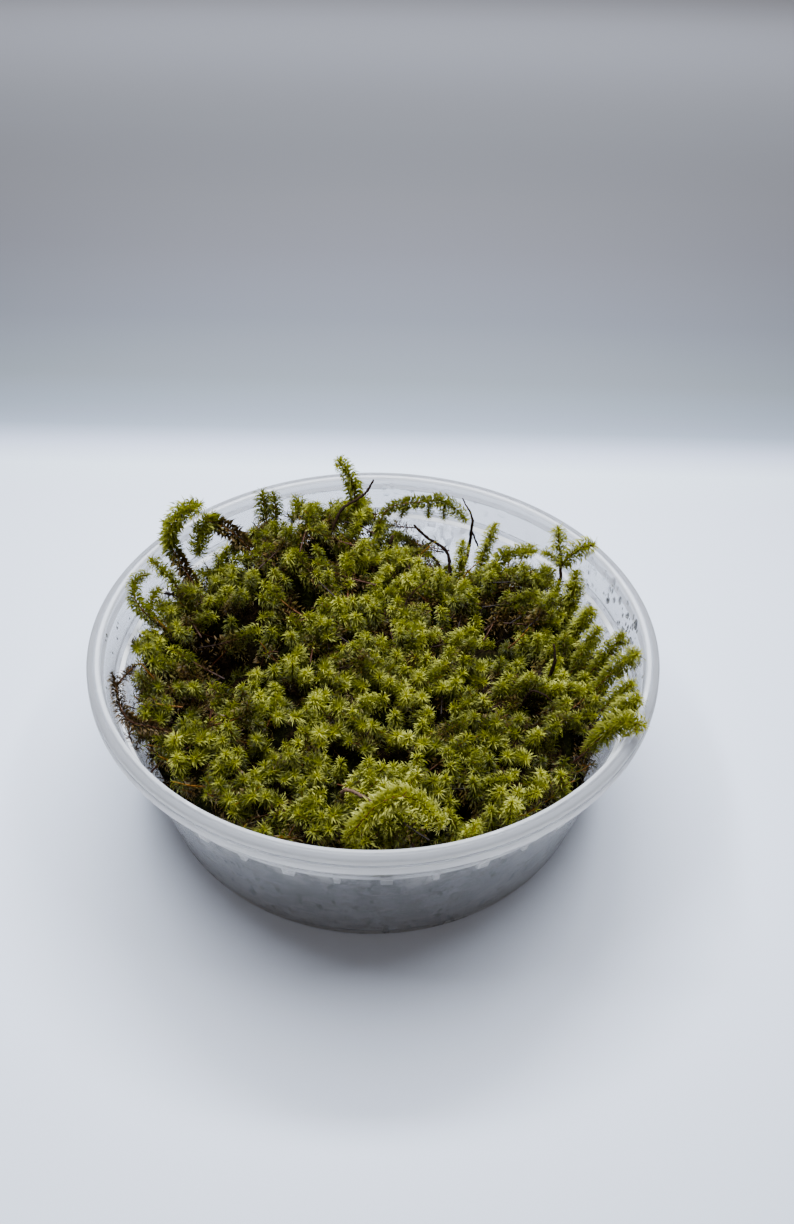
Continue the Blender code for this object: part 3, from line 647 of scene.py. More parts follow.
mat = {
    "spacing": 3.4 * mm, "jitter": 0.50, "seed": 11, "skipped": 0.06,
    # where a shoot may stand: the surface's height, felt this far round it
    "probe": 1.5 * mm, "lowest": 15 * mm,
    "length": (11.0 * mm, 15.0 * mm), "tipRise": (-2.2 * mm, 1.3 * mm), "size": (0.85, 1.08), "bow": 0.5 * mm,
    "relief": 4.4 * mm, "reliefSize": 6.0 * mm, "reliefTop": 0.25,
    "lean": 0.45, "wander": 0.42, "clumpLean": 1.6, "clumpSize": 8.0 * mm,
    # the shoots rise as they go: how much of the lean is left at the tip and in the root
    "tipLean": 0.7, "rootLean": 1.5, "lying": 0.34, "lyingLean": 2.6,
    "branches": (1, 4), "branchFrom": (1.8 * mm, 8.0 * mm), "branchLength": (1.6 * mm, 3.4 * mm),
    "branchOpen": (38.0, 66.0), "branchStem": 0.15 * mm, "branchLeaves": 0.84,
    "coreDepth": 6.5 * mm, "coreGap": 1.0 * mm,
    "tone": 0.64, "toneSpread": 0.055, "rootTone": 0.22, "patchTone": 0.09, "patchSize": 7 * mm,
    # dark hollows, where few shoots stand, and lower, whose shoots get a dark tone as painted shade: their x,
    # y and radius in mm
    "hollowSkipped": 0.84, "hollowShadeTone": 0.40, "hollowRoot": 0.36, "hollowDarker": 0.004,
    "hollowDrop": 3.6 * mm,
    "hollows": [(-36, -7, 5.4), (-29, -6.5, 4.4), (-35.5, 0.5, 4.6), (-29, -0.5, 4.4), (-22.5, -3.0, 3.8),
                (-5.5, 18.8, 3.4), (19.5, 9.5, 4.4), (26, 5.0, 4.4), (28.5, 10.5, 3.4), (10.2, -48, 3.2),
                (20.6, -13.6, 2.8), (36.5, -29, 3.8), (41, -26, 3.0), (-17, 11.5, 3.6), (-1, -8, 2.8),
                (-15.5, -18.5, 3.0), (-25, -22, 3.0), (27, -20.5, 2.8), (32.5, -19.5, 3.0), (2, -22, 2.2),
                (-8, -32, 2.2)],
    # places whose shoots are darker (negative) or paler (positive): x, y, radius, change
    "tints": [(17, -36.5, 4, -0.24), (-39, -24, 6, -0.22), (44, -20, 5, -0.14),
              (31, -32, 5, 0.08), (28, -41, 7, 0.12), (6, -48, 9, 0.15), (-45, -11, 5, -0.20),
              (30, -20, 7, -0.10), (-38, -30, 4, 0.26), (-27, 36, 7, -0.16), (-34, 4, 12, -0.10),
              (-20, 24, 14, -0.05), (-2, -18, 16, 0.03), (45, -12, 8, 0.05), (40, 20, 8, -0.04),
              (4, -38, 15, 0.075), (40, 17, 5, 0.06), (-17, -12, 3, 0.08)],
}


def matSurface():
    return BVHTree.FromObject(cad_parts["moss_mat"], bpy.context.evaluated_depsgraph_get())


def scatter(rng):
    # evenly spread places over a square, every other row moved half a step
    step, reach = mat["spacing"], rimRadius
    made = []
    for row, y in enumerate(np.arange(-reach, reach, step * math.sqrt(3) / 2)):
        for x in np.arange(-reach + (row % 2) * step / 2, reach, step):
            made.append(np.array([x, y]) + rng.normal(0, mat["jitter"] * step / 2, 2))
    return made


def heightUnder(tree, x, y):
    hit = tree.ray_cast(Vector((x, y, 0.09)), Vector((0, 0, -1)))
    return hit[0].z if hit[0] is not None else None


def tintAt(x, y):
    change = mat["patchTone"] * noise.noise(Vector((x, y, 0.03)) / mat["patchSize"])
    for cx, cy, radius, amount in mat["tints"]:
        away = ((x - cx * mm) ** 2 + (y - cy * mm) ** 2) / (radius * mm) ** 2
        change += amount * math.exp(-away)
    return change


def inHollow(x, y):
    return any(math.hypot(x - cx * mm, y - cy * mm) < radius * mm for cx, cy, radius in mat["hollows"])


def regionOf(x, y):
    if math.hypot(x, y) < 22 * mm:
        return "middle"
    sector = ((math.degrees(math.atan2(y, x)) + 36) % 360) // 72
    return ("right", "back", "left", "front_left", "front")[int(sector)]


def matShoot(x, y, top, rng):
    # one line from the root up to the tip, leaning with its neighbours and out to the rim
    place = Vector((x, y, 0.0)) / mat["clumpSize"]
    clump = np.array([noise.noise(place + Vector(shift)) for shift in ((0, 0, 11.3), (7.1, 3.3, 40.7))])
    radius = math.hypot(x, y)
    outward = np.array([x, y]) / max(radius, 1e-6) * (radius / rimRadius) ** 1.5
    slope = outward * mat["lean"] + clump * mat["clumpLean"] + rng.normal(0, mat["wander"], 2)
    relief = mat["relief"] * min(mat["reliefTop"], noise.noise(Vector((x, y, 0.01)) / mat["reliefSize"]))
    top = top + relief + rng.uniform(*mat["tipRise"])
    tip = np.array([x, y, top - (mat["hollowDrop"] if inHollow(x, y) else 0)])
    if rng.uniform() < mat["lying"]:
        slope = unit(slope) * mat["lyingLean"]
    half = rng.uniform(*mat["length"]) / 2
    middle = tip - unit(np.append(slope * mat["tipLean"], 1.0)) * half
    root = middle - unit(np.append(slope * mat["rootLean"], 1.0)) * half
    return curve([root, middle + np.append(rng.normal(0, mat["bow"], 2), 0), tip], 9)


def growMat(tree):
    rng = np.random.default_rng(mat["seed"])
    regions = {name: LeafStore() for name in ("middle", "right", "back", "left", "front_left", "front")}
    planted, probe = 0, mat["probe"]
    for x, y in scatter(rng):
        around = [heightUnder(tree, x + dx, y + dy)
                  for dx, dy in ((0, 0), (probe, 0), (-probe, 0), (0, probe), (0, -probe))]
        around = [z for z in around if z is not None and z > mat["lowest"]]
        chance = rng.uniform()
        hollow = inHollow(x, y)
        if len(around) < 4 or chance < (mat["hollowSkipped"] if hollow else mat["skipped"]):
            continue
        line = matShoot(x, y, max(around), rng)
        tone = mat["tone"] + tintAt(x, y) + rng.normal(0, mat["toneSpread"])
        root, darker = mat["rootTone"], None
        if hollow:
            # painted shade: shoots in a hollow get a dark tone
            tone = mat["hollowShadeTone"] + rng.normal(0, 0.02)
            root, darker = mat["hollowRoot"], mat["hollowDarker"]
        store = regions[regionOf(x, y)]
        store.addShoot(line, rng, tone, leafShape["matSpacing"], size=rng.uniform(*mat["size"]),
                       rootTone=root, stemShade=rng.uniform(0.05, 0.45), darker=darker)
        addBranches(store, line, rng, tone, darker=darker)
        planted += 1
    print("mat shoots:", planted)
    return regions


def addBranches(store, line, rng, tone, count=None, along=None, lengths=None, roll=None, darker=None):
    # short leafy side branches, left and right of the shoot in turn
    far = distances(line)
    count = count or rng.integers(*mat["branches"])
    first, last = along or mat["branchFrom"]
    plane = unit(rng.normal(0, 1, 3))
    fall = leafShape["darker"] if darker is None else darker
    for k in range(count):
        left = first + (last - first) * (k + rng.uniform(0.1, 0.9)) / count
        s = max(far[-1] - left, 0.3 * mm)
        here = np.array([np.interp(s, far, line[:, c]) for c in range(3)])
        ahead = np.array([np.interp(s + 0.5 * mm, far, line[:, c]) for c in range(3)])
        way = unit(ahead - here + 1e-7)
        aside = unit(np.cross(way, plane + rng.normal(0, 0.35, 3))) * (1 if k % 2 else -1)
        opening = math.radians(rng.uniform(*mat["branchOpen"]))
        length = rng.uniform(*(lengths or mat["branchLength"])) * min(1.0, 0.55 + left / (5 * mm))
        end = here + (way * math.cos(opening) + aside * math.sin(opening)) * length
        bow = (here + end) / 2 + aside * length * 0.08
        # a branch lower down gets a lower tone: partly older tissue, partly painted shade
        shade = tone + rng.normal(0.01, 0.04) - fall * left / mm
        store.addShoot(curve([here, bow, end], 4), rng, shade, leafShape["branchSpacing"],
                       size=mat["branchLeaves"] * rng.uniform(0.9, 1.1), rootTone=shade - 0.05,
                       stemRadius=mat["branchStem"], stemShade=rng.uniform(0.25, 0.6), roll=roll,
                       depth=left, darker=darker)


flankShoots = {
    # rows up the flank and places round it: first, last and step in mm, step in degrees
    "rows": (9, 32, 4.4), "turn": 4.8, "turnSpread": 1.4, "rowSpread": 1.2,
    # from the mat's surface, in mm: out and up to the tip, in and down to the root
    "tipOut": (-0.4, 1.0), "tipUp": (1, 5), "rootIn": (2.5, 4.5), "rootDown": (0.0, 3.5), "sway": 2.5 * mm,
    # tone at the foot and how much greener it gets, between which heights
    "tone": 0.16, "greener": 0.30, "greenFrom": 20 * mm, "greenOver": 14 * mm, "toneSpread": 0.04,
    "rootDarker": 0.08, "size": 0.9,
}


def growSides(tree, regions):
    # short shoots down the mat's flanks, which the wall presses on
    rng = np.random.default_rng(mat["seed"] + 1)
    look, made = flankShoots, 0
    for height in np.arange(*look["rows"]):
        for degrees in np.arange(0, 360, look["turn"]):
            angle = math.radians(degrees + rng.normal(0, look["turnSpread"]))
            z = (height + rng.normal(0, look["rowSpread"])) * mm
            out = Vector((math.cos(angle), math.sin(angle), 0))
            hit = tree.ray_cast(out * 0.1 + Vector((0, 0, z)), -out)
            if hit[0] is None:
                continue
            foot = np.array(hit[0])
            radial, up = np.array(out), np.array([0, 0, mm])
            tip = foot + radial * rng.uniform(*look["tipOut"]) * mm + up * rng.uniform(*look["tipUp"])
            root = foot - radial * rng.uniform(*look["rootIn"]) * mm - up * rng.uniform(*look["rootDown"])
            tangent = np.array([-radial[1], radial[0], 0]) * rng.normal(0, look["sway"])
            line = curve([root, (root + tip) / 2 + tangent * 0.3, tip + tangent], 5)
            green = smooth((z - look["greenFrom"]) / look["greenOver"])
            tone = look["tone"] + look["greener"] * green + rng.normal(0, look["toneSpread"])
            regions[regionOf(foot[0], foot[1])].addShoot(
                line, rng, tone, leafShape["sideSpacing"], size=look["size"],
                rootTone=tone - look["rootDarker"], stemShade=rng.uniform(0, 0.6))
            made += 1
    print("side shoots:", made)


def coreMaterial(look):
    material, start = newMaterial("mat_core")
    place = start.position()
    tangle = start.noise(place, look["tangleScale"], 6.0, 0.75, 1.5)
    patches = start.noise(place, look["patchScale"], 3.0)
    colour = patches.step(0.40, 0.62).mixColour(tangle.ramp(look["green"]), tangle.ramp(look["brown"]))
    return finishMaterial(material, skinShader(start, look, colour, tangle))


core = {
    "rings": 44, "spokes": 150, "sideRings": 14, "lump": 0.9 * mm, "seed": 5,
    "sideTop": 26 * mm, "sideFoot": 2.5 * mm, "foot": 0.3 * mm, "edgeRound": 8,
    "tangleScale": 700.0, "patchScale": 110.0, "roughness": 0.9, "ior": 1.04,
    "bump": 1.0, "bumpDepth": 0.6 * mm,
    # near-black colours: partly the dead tangle's own, partly painted shade
    "green": [(0.40, (0.002, 0.002, 0.001)), (0.55, (0.008, 0.009, 0.002)), (0.70, (0.035, 0.034, 0.005))],
    "brown": [(0.40, (0.002, 0.001, 0.001)), (0.55, (0.010, 0.006, 0.003)), (0.70, (0.045, 0.024, 0.010))],
}


def makeCore(tree):
    # the tangle under the leafy tips, coloured near black, partly its dead stems and partly painted shade:
    # the mat's form, sunk and lumpy
    rng = np.random.default_rng(core["seed"])
    spokes, rings, sideRings = core["spokes"], core["rings"], core["sideRings"]
    centre = heightUnder(tree, 0.0, 0.0)
    floor = tubFloor + core["foot"]
    turns = [(math.cos(2 * math.pi * k / spokes), math.sin(2 * math.pi * k / spokes)) for k in range(spokes)]
    edge, points = [], []
    for turn in turns:
        out = Vector((*turn, 0))
        flank = []
        for z in np.linspace(core["sideTop"], core["sideFoot"], sideRings):
            hit = tree.ray_cast(out * 0.1 + Vector((0, 0, z)), -out)
            flank.append((hit[0].to_2d().length - mat["coreGap"], z))
        edge.append(flank)
    lump = rng.normal(0, core["lump"] * 0.4, (rings + sideRings, spokes))
    for r in range(rings):
        share = (r + 1) / rings
        bend = share ** core["edgeRound"]
        for k, (c, s) in enumerate(turns):
            radius, sideTop = edge[k][0][0] * share, edge[k][0][1] + 0.5 * mm
            x, y = radius * c, radius * s
            # the mean of three heights on the way in keeps single dips out
            around = [heightUnder(tree, x * (1 - inward), y * (1 - inward)) or centre
                      for inward in (0.0, 0.04, 0.08)]
            z = sum(around) / 3 - mat["coreDepth"]
            z = z * (1 - bend) + min(z, sideTop) * bend
            points.append((x, y, max(z + lump[r, k], floor + 4 * mm)))
    lastRing = points[-spokes:]
    for ring in range(sideRings):
        for k, (c, s) in enumerate(turns):
            radius, z = edge[k][ring]
            radius = min(radius + lump[rings + ring, k], radius + 0.5 * mm)
            z = min(z, lastRing[k][2] - 0.3 * mm * (ring + 1))
            points.append((radius * c, radius * s, max(z, floor)))
    index, right, walls = ringFaces(rings + sideRings, spokes, flip=True)
    middle, under = len(points), len(points) + 1
    caps = np.vstack([fan(middle, index[0], right[0]), fan(under, right[-1], index[-1])])
    points += [(0, 0, centre - mat["coreDepth"]), (0, 0, floor)]
    addPiece("mat_core", newMesh("mat_core", points, [walls, caps]), coreMaterial(core), ["moss_mat"])
    print("core done")


# Each line is a list of points in mm from the root out, with the leaves' reach there
# in mm; tone runs from dry brown, 0.15, through green, 0.6, to pale, 1. The node is shoot_
# and the piece's name, unless a piece says otherwise.
loose = {
    "left_arch": {"tone": 0.70, "branches": 15, "branchTo": 15,
                  "root": 0.28, "greening": (0.36, 0.60), "lines": [
        [(-38.5, 13.5, 31.5, 0.9), (-43.8, 18.2, 38.5, 1.5), (-46.4, 20.5, 43.5, 1.7),
         (-45.6, 21, 48.3, 1.9), (-42.9, 22.6, 51.2, 1.9), (-39.6, 25.2, 51.2, 1.5)]]},
    "left_leg": {"slot": "moss_dark", "tone": 0.60, "branches": 13, "branchTo": 11,
                 "root": 0.26, "greening": (0.45, 0.68), "lines": [
        [(-27, 23.5, 36, 1), (-31.9, 25.5, 41.6, 1.7), (-35.6, 25.8, 44.8, 1.8),
         (-38.2, 24.8, 46.8, 1.9), (-39.6, 23.2, 45.8, 1.9), (-40.2, 22, 43.4, 1.9),
         (-40.9, 21, 40.6, 1.5)]]},
    "left_low": {"tone": 0.62, "branches": 2, "lines": [
        [(-42, 12, 33.5, 0.8), (-46.6, 15.2, 38.6, 1.5), (-50.4, 16.6, 42.2, 1.1)]]},
    "left_hook": {"tone": 0.58, "lines": [
        [(-44.5, 3.5, 31.5, 0.8), (-49.6, 4.6, 36.6, 1.3), (-52, 6.6, 39.6, 1.4),
         (-52.2, 10.3, 41.4, 1.3), (-49.8, 12, 41.6, 1)],
        [(-48.8, 4.5, 35.8, 0.8), (-49.2, 8.2, 36.8, 1.2), (-47.8, 11.2, 38.4, 1)]]},
    "back_left_tuft": {"node": "tuft_back_left", "slot": "moss_dark", "tone": 0.44, "lines": [
        [(-26, 31, 35, 0.9), (-27.4, 36, 40.6, 2), (-28.2, 39.4, 45.4, 1.5)],
        [(-26.4, 32.6, 37, 0.9), (-25, 37, 41.4, 1.6), (-25.8, 40, 44.8, 1.3)]]},
    "back_spike": {"tone": 0.66, "branches": 3, "lines": [
        [(-5.2, 38, 35, 0.8), (-5.9, 40.4, 41, 1.7), (-6.8, 42, 46.2, 1.7),
         (-8.3, 42, 50.6, 1.6), (-10, 41.4, 53.8, 1.2)]]},
    "back_level": {"tone": 0.60, "lines": [
        [(-2, 33.4, 33.5, 0.7), (1, 37.4, 41.6, 1.1), (6, 38.4, 43.8, 1.4),
         (10.4, 39.4, 43.6, 1.2), (14, 40.8, 43.2, 1.6), (17.4, 40.4, 41.8, 1.6),
         (20.6, 37.8, 39.8, 1.3)],
        [(6, 38.4, 43.4, 0.8), (5.4, 38, 41.6, 1.1), (5, 37.8, 40.2, 1)],
        [(11.6, 39.9, 43.2, 0.8), (11.6, 39.2, 41.2, 1.1), (11.5, 38.7, 39.7, 1)],
        [(15.4, 40.8, 42.6, 0.8), (15.3, 40, 40.6, 1.1), (15.3, 39.2, 39, 1)]]},
    "back_short": {"tone": 0.66, "branches": 5, "lines": [
        [(19.2, 27.6, 24.5, 0.8), (19.6, 31.6, 31, 1.5), (20, 34.2, 36.2, 1.1)]]},
    "back_right": {"tone": 0.66, "branches": 6, "lines": [
        [(23.4, 27, 26, 0.8), (24.8, 31.6, 33, 1.5), (26.2, 33.6, 37.4, 1.4),
         (27.4, 34.8, 41, 1)]]},
    "right_reach": {"tone": 0.66, "branches": 7, "lines": [
        [(24.6, 22.6, 29, 0.8), (28.5, 27.6, 36.4, 1.6), (33, 26.6, 39, 1.5),
         (36.2, 25.6, 40, 1.2)]]},
    "right_hanging": {"tone": 0.68, "branches": 7, "lines": [
        [(41.6, 10.6, 27, 0.8), (43.4, 14.2, 34, 1.6), (44.2, 16, 38.2, 1.6),
         (44.3, 17.4, 40.8, 1.2)]]},
    "right_low": {"tone": 0.64, "branches": 6, "lines": [
        [(41.6, 4.4, 27.5, 0.8), (44.8, 7.2, 33.4, 1.8), (46.8, 8.4, 37.6, 1.4)]]},
    "right_edge": {"tone": 0.64, "branches": 6, "lines": [
        [(42, -2.6, 28, 0.8), (45.2, 0.4, 34.4, 1.7), (47, 1.2, 38.4, 1.3)]]},
    "rim_back": {"tone": 0.62, "branches": 6, "lines": [
        [(44, -5.6, 29, 0.8), (48.6, -4, 35.6, 1.8), (51.2, -2.8, 40.4, 1.3)]]},
    "rim_high": {"tone": 0.66, "branches": 6, "lines": [
        [(45, -10.4, 30, 0.8), (49.2, -9.6, 37, 1.8), (51.2, -10.2, 40.4, 1.7),
         (52.2, -11.2, 42.8, 1.3)]]},
    "rim_middle": {"tone": 0.64, "branches": 5, "lines": [
        [(45.4, -16, 30, 0.8), (49.2, -15.8, 36.2, 1.8), (50.8, -16.4, 39.6, 1.4)]]},
    "rim_low": {"tone": 0.68, "branches": 6, "lines": [
        [(44, -21.6, 30.5, 0.8), (47.6, -22, 37.6, 1.9), (50.4, -23, 42.4, 1.4)]]},
    "rim_front": {"tone": 0.72, "branches": 7, "lines": [
        [(41, -26.6, 30, 0.9), (43.8, -28, 38, 1.9), (46.4, -29.6, 43, 1.8),
         (49.2, -31.6, 44.4, 1.3)]]},
    "dead_left": {"slot": "dead_moss", "tone": 0.16, "root": 0.17, "lines": [
        [(-37.6, -24.6, 31, 0.7), (-41.2, -27.2, 36, 1.1), (-44.4, -28, 38, 1.1),
         (-46.6, -26.2, 39.2, 1.1), (-47.9, -23.2, 40.2, 1.1), (-48.9, -20.9, 41, 1),
         (-49.6, -19.4, 42.4, 0.8)],
        [(-48.6, -21.2, 40.9, 0.8), (-47.3, -18.6, 41.2, 0.9), (-46.5, -15.6, 40.8, 0.8)]]},
    "pale_arch": {"slot": "moss_pale", "tone": 0.86, "branches": 7, "lines": [
        [(-4, -48.6, 31.5, 0.9), (-1.6, -50.6, 38, 1.5), (1.6, -48.6, 41.4, 1.7),
         (5.7, -47.2, 42.6, 1.7), (9.9, -48.4, 41.8, 1.6), (12.6, -50.4, 39, 1.3)]]},
    "right_branch": {"node": "branch_right", "tone": 0.70, "bare": 0.62,
                     "stem": 0.55, "lines": [
        [(37, 13.4, 27, 1), (40, 17.9, 32.6, 1), (41.4, 18.7, 37.4, 1),
         (41.3, 19.6, 40.6, 1.4), (44.4, 20.2, 44.6, 1.8), (47.6, 19.6, 46.6, 1.4)],
        [(41.3, 19.5, 40.5, 0.9), (40.5, 22.4, 44.4, 1.7), (40.2, 24.4, 47.6, 1.3)],
        [(41.3, 19.5, 40.4, 0.9), (39.4, 22.6, 41, 1), (37.4, 24.6, 40.6, 1)]]},
}

# Points in mm from the root out, with the radius there.
twigs = {
    "back_twig_thin": {"node": "twig_back_thin", "lines": [
        [(-12.1, 26.7, 39.2, 0.40), (-9, 30, 46.8, 0.36), (-4.7, 32.5, 49, 0.32),
         (-2.8, 33.9, 50.3, 0.30), (-1.6, 35.1, 52.3, 0.22)]]},
    "back_twig_dark": {"node": "twig_back_dark", "lines": [
        [(19.5, 34, 22, 0.50), (22.1, 40.4, 28.6, 0.46), (22.4, 41.2, 34.6, 0.42),
         (22.4, 41.4, 38, 0.30), (19.9, 44.2, 41.8, 0.16)],
        [(22.4, 41.1, 34.6, 0.34), (24.6, 40.6, 29.6, 0.20)]]},
    "back_stem_low": {"node": "stem_back_low", "lines": [
        [(1.5, 34, 28, 0.42), (3.4, 39.4, 33.6, 0.42), (8.4, 40.2, 29.8, 0.40),
         (13.6, 39.6, 26.6, 0.40), (17, 34.6, 22, 0.36)]]},
    "back_stem_high": {"node": "stem_back_high", "lines": [
        [(17.4, 31, 25, 0.42), (16.4, 35.2, 31.8, 0.40), (11.2, 36, 35.8, 0.36),
         (8.1, 36.4, 39, 0.26)]]},
    "front_twig_dry": {"node": "twig_front_dry", "dry": True, "lines": [
        [(-4.8, -41.6, 33, 0.40), (-3.9, -42.5, 38, 0.36), (-1.2, -44, 38.6, 0.34),
         (1.1, -45.3, 38.3, 0.26)]]},
    "arc_twig_thin": {"node": "twig_arc_thin", "lines": [
        [(29.6, -17.4, 33.5, 0.22), (30.8, -18.6, 39, 0.20), (32.7, -21.4, 41.2, 0.18),
         (34.3, -22.2, 40.2, 0.14)]]},
    "centre_stem_dark": {"node": "stem_centre_dark", "lines": [
        [(35.6, -7.6, 28, 0.42), (37.2, -6.8, 35.2, 0.34), (36.9, -4.6, 38.8, 0.24)]]},
}

bark = {"grainScale": 2600.0, "patchScale": 500.0, "roughness": 0.65, "ior": 1.15, "bump": 0.8,
        "bumpDepth": 0.12 * mm, "patch": (0.028, 0.013, 0.006),
        "grain": [(0.35, (0.004, 0.002, 0.002)), (0.62, (0.020, 0.010, 0.006))]}
dryBark = {"grainScale": 2200.0, "patchScale": 500.0, "roughness": 0.6, "ior": 1.3, "bump": 0.8,
           "bumpDepth": 0.1 * mm, "patch": (0.14, 0.075, 0.045),
           "grain": [(0.35, (0.030, 0.015, 0.008)), (0.62, (0.110, 0.060, 0.038))]}
looseShape = {
    "seed": 100, "leafReach": 1.35, "stem": 0.24, "darker": 0.012, "rootDarker": 0.08,
    "branchFrom": 1.2, "branchTo": 9.0, "branchLength": (1.2 * mm, 2.8 * mm),
}
twigShape = {"seed": 300, "sides": 8, "kink": 0.05 * mm, "knots": 0.12, "knotLimit": 1.5, "end": 0.4}


def spread(values, count):
    # values given at the points of a line, spread over count places on it
    return np.interp(np.linspace(0, 1, count), np.linspace(0, 1, len(values)), values)


def makeLoose(material):
    for number, (name, look) in enumerate(loose.items()):
        rng = np.random.default_rng(looseShape["seed"] + number)
        store = LeafStore()
        for index, points in enumerate(look["lines"]):
            points = np.array(points)
            count = max(8, 5 * len(points))
            line = curve(points[:, :3] * mm, count)
            # a bare stem is thick and dark, and only the piece's first line has one
            woody = index == 0 and "bare" in look
            store.addShoot(line, rng, look["tone"], leafShape["looseSpacing"],
                           size=spread(points[:, 3], count) / looseShape["leafReach"],
                           rootTone=look.get("root", look["tone"] - looseShape["rootDarker"]),
                           greening=look.get("greening"), bare=look["bare"] if woody else 0.0,
                           stemRadius=(look["stem"] if woody else looseShape["stem"]) * mm,
                           stemShade=0.1 if woody else 0.4, roll=leafShape["looseRoll"],
                           darker=looseShape["darker"])
            if index == 0 and "branches" in look:
                along = (looseShape["branchFrom"] * mm, look.get("branchTo", looseShape["branchTo"]) * mm)
                addBranches(store, line, rng, look["tone"], look["branches"], along,
                            looseShape["branchLength"], leafShape["looseRoll"], looseShape["darker"])
        node = look.get("node", "shoot_" + name)
        store.build(name + "_leaves", material, look.get("slot", "moss"), [node])
    print("loose shoots:", len(loose))


def makeTwigs():
    fresh, dry = barkMaterial("bark", bark), barkMaterial("dry_bark", dryBark)
    around = twigShape["sides"]
    for number, (name, look) in enumerate(twigs.items()):
        rng = np.random.default_rng(twigShape["seed"] + number)
        points, quads, tris, count = [], [], [], 0
        for controls in look["lines"]:
            controls = np.array(controls)
            steps = 10 * (len(controls) - 1)
            line = curve(controls[:, :3] * mm, steps)
            line[1:-1] += rng.normal(0, twigShape["kink"], (steps - 2, 3))
            knots = rng.normal(0, 1, steps).clip(-twigShape["knotLimit"], twigShape["knotLimit"])
            radius = spread(controls[:, 3], steps) * mm * (1 + twigShape["knots"] * knots)
            along, side = carried(line)
            ring = ringAround(side, np.cross(along, side), around)
            ends = along[[0, -1]] * radius[[0, -1], None] * [[-twigShape["end"]], [twigShape["end"]]]
            points += [(line[:, None] + ring * radius[:, None, None]).reshape(-1, 3), line[[0, -1]] + ends]
            index, right, walls = ringFaces(steps, around, count)
            quads.append(walls)
            count += steps * around + 2
            tris += [fan(count - 2, right[0], index[0]), fan(count - 1, index[-1], right[-1])]
        mesh = newMesh(name, np.vstack(points), [np.vstack(quads), np.vstack(tris)])
        addPiece(name, mesh, dry if look.get("dry") else fresh, [look["node"]])
    print("twigs:", len(twigs))


drops = {
    "seed": 21, "sides": 12, "rows": 4, "bulge": 0.46, "largest": 1.3 * mm, "sizeSpread": 0.45,
    "sunk": 0.03 * mm, "tall": (1.0, 1.35), "wallSlope": 0.16,
    # stretches of the inner wall: from and to in degrees, low and high in mm, count, size in mm
    "stretches": [(-14, 42, 31.0, 39.0, 130, 0.50), (42, 100, 31.5, 38.5, 60, 0.58),
                  (100, 150, 32.0, 39.0, 16, 0.35), (150, 200, 33.0, 39.0, 14, 0.3),
                  (10, 60, 24.0, 30.0, 40, 0.35), (208, 246, 13.0, 27.0, 50, 0.42),
                  (235, 330, 21.0, 29.0, 60, 0.28)],
    "water": {"colour": (1.0, 1.0, 1.0), "roughness": 0.05, "ior": 1.28, "clear": 1.0},
}


def dropPoints(rng, start, end, low, high, size):
    # a shallow cap on the wall, ring by ring, then its top and the middle of its foot
    angle = math.radians(rng.uniform(start, end))
    height = rng.uniform(low, high) * mm
    radius = min(size * mm * rng.lognormal(0, drops["sizeSpread"]), drops["largest"])
    bulge = radius * drops["bulge"]
    out = np.array([math.cos(angle), math.sin(angle), 0.0])
    side = np.array([-out[1], out[0], 0.0])
    up = unit(np.array([0, 0, 1.0]) + out * drops["wallSlope"])
    centre = out * (float(innerRadius(height)) - drops["sunk"]) + np.array([0, 0, height])
    tall = rng.uniform(*drops["tall"])
    turn = np.arange(drops["sides"]) * 2 * math.pi / drops["sides"]
    rings = []
    for row in range(drops["rows"]):
        rise = row / drops["rows"] * math.pi / 2
        wide = math.cos(rise) * radius
        rings.append(centre - out * (math.sin(rise) ** 2 * bulge) + side * (np.cos(turn) * wide)[:, None]
                     + up * (np.sin(turn) * wide * tall)[:, None])
    return np.vstack(rings + [centre - out * bulge, centre])


def makeDrops():
    rng = np.random.default_rng(drops["seed"])
    points, quads, tris, count = [], [], [], 0
    for start, end, low, high, number, size in drops["stretches"]:
        for _ in range(number):
            points.append(dropPoints(rng, start, end, low, high, size))
            index, right, walls = ringFaces(drops["rows"], drops["sides"], count, flip=True)
            quads.append(walls)
            count += len(points[-1])
            tris += [fan(count - 2, right[-1], index[-1]), fan(count - 1, index[0], right[0])]
    mesh = newMesh("water_drops", np.vstack(points), [np.vstack(quads), np.vstack(tris)])
    mesh.set_sharp_from_angle(angle=math.radians(60))
    addPiece("water_drops", mesh, waterMaterial(drops["water"]))
    print("water drops:", len(points))


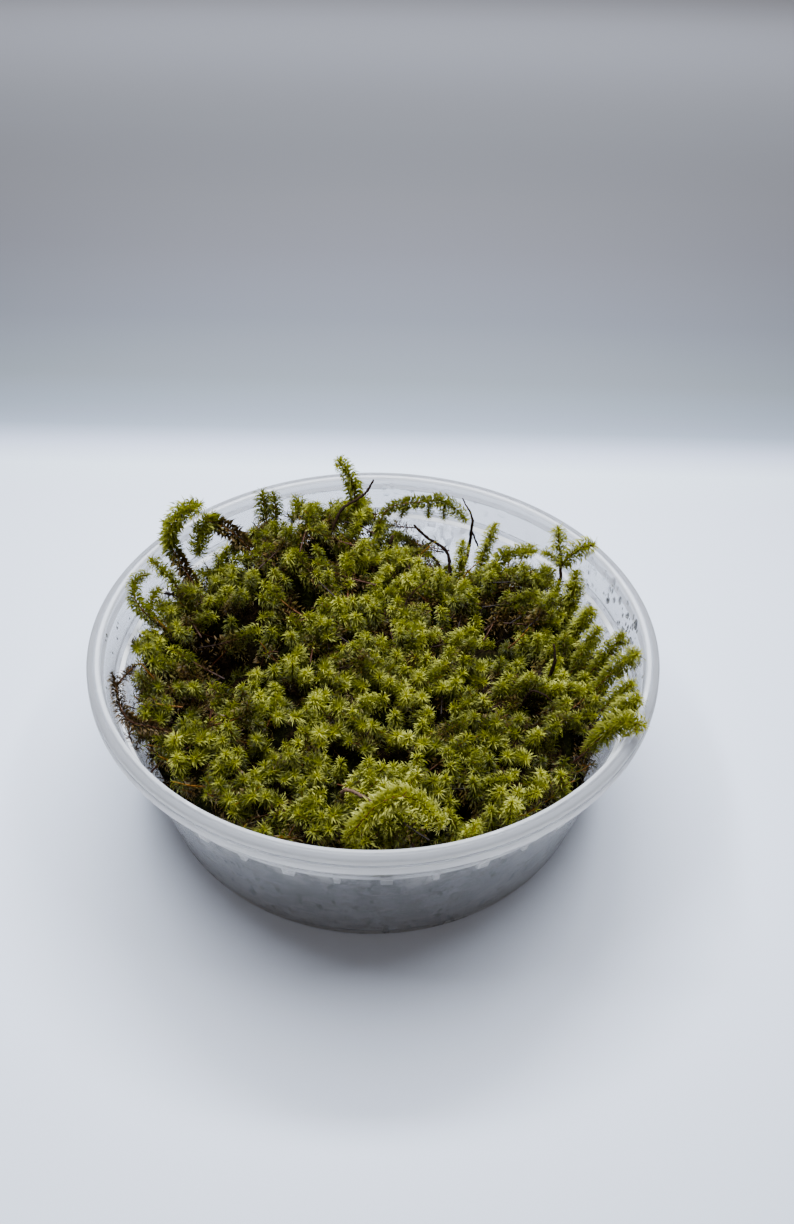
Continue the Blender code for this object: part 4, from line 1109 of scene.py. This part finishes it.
studio = {
    "floorSize": 6.0,
    # the floor's colour by distance behind the tub, in metres: painted light and shade of the studio, bright
    # just behind the tub, dark beyond it and lighter far off
    "paintedLightFade": [(0.104, (0.67, 0.71, 0.80)), (0.124, (0.69, 0.76, 0.83)), (0.137, (0.51, 0.55, 0.67)),
             (0.144, (0.37, 0.41, 0.50)), (0.151, (0.255, 0.295, 0.355)), (0.159, (0.225, 0.255, 0.305)),
             (0.168, (0.205, 0.235, 0.275)), (0.191, (0.18, 0.20, 0.22)), (0.25, (0.175, 0.185, 0.215)),
             (0.34, (0.23, 0.23, 0.26)), (0.426, (0.30, 0.30, 0.33)), (0.60, (0.40, 0.41, 0.45)),
             (1.12, (0.56, 0.57, 0.63))],
    "roughness": 0.55, "grainScale": 300.0, "bump": 0.02, "bumpDepth": 0.1 * mm,
    # strips of light: place, length along x or y, width, power
    "strips": [((0.0, 0.115, 0.30), (0.20, 0.04), 2.3), ((-0.105, 0.016, 0.30), (0.03, 0.18), 1.20),
               ((0.115, 0.016, 0.30), (0.03, 0.18), 0.95), ((0.0, 0.95, 0.50), (1.40, 0.30), 4.5)],
    "lampColour": (0.83, 0.895, 1.0),
    "world": (0.95, 0.88, 0.83), "worldStrength": 0.25,
}
shot = {
    "place": (0.0045, -0.1411, 0.1642), "pitch": 40.75, "roll": 1.29, "lens": 26.47, "sensor": 36.0,
}


def makeStudio():
    mesh = bpy.data.meshes.new("floor")
    half = studio["floorSize"] / 2
    corners = [(-half, -half, 0), (half, -half, 0), (half, half, 0), (-half, half, 0)]
    mesh.from_pydata(corners, [], [(0, 1, 2, 3)])
    floor = bpy.data.objects.new("floor", mesh)
    bpy.context.scene.collection.objects.link(floor)
    mesh.materials.append(floorMaterial(studio))
    for number, (place, size, power) in enumerate(studio["strips"]):
        lamp = bpy.data.lights.new(f"strip_{number}", "AREA")
        lamp.shape = "RECTANGLE"
        lamp.size, lamp.size_y = size
        lamp.energy = power
        lamp.color = studio["lampColour"]
        strip = bpy.data.objects.new(f"strip_{number}", lamp)
        strip.location = place
        bpy.context.scene.collection.objects.link(strip)
    world = bpy.data.worlds.new("studio")
    bpy.context.scene.world = world
    world.use_nodes = True
    back = world.node_tree.nodes["Background"]
    back.inputs["Color"].default_value = (*studio["world"], 1.0)
    back.inputs["Strength"].default_value = studio["worldStrength"]


def makeCamera():
    camera = bpy.data.cameras.new("camera")
    camera.lens = shot["lens"]
    camera.sensor_width = shot["sensor"]
    camera.clip_start = 0.005
    cameraObject = bpy.data.objects.new("camera", camera)
    tilt = Euler((math.radians(90 - shot["pitch"]), 0, 0)).to_matrix()
    turned = (tilt @ Matrix.Rotation(math.radians(shot["roll"]), 3, "Z")).to_4x4()
    turned.translation = Vector(shot["place"])
    cameraObject.matrix_world = turned
    bpy.context.scene.collection.objects.link(cameraObject)
    bpy.context.scene.camera = cameraObject


makeCamera()
makeStudio()
makeTub()
surface = matSurface()
makeCore(surface)
tissue = leafMaterial(leafLook)
regions = growMat(surface)
growSides(surface, regions)
for region, store in regions.items():
    store.build("mat_" + region, tissue, "moss")
print("mat regions:", len(regions))
makeLoose(tissue)
makeTwigs()
makeDrops()
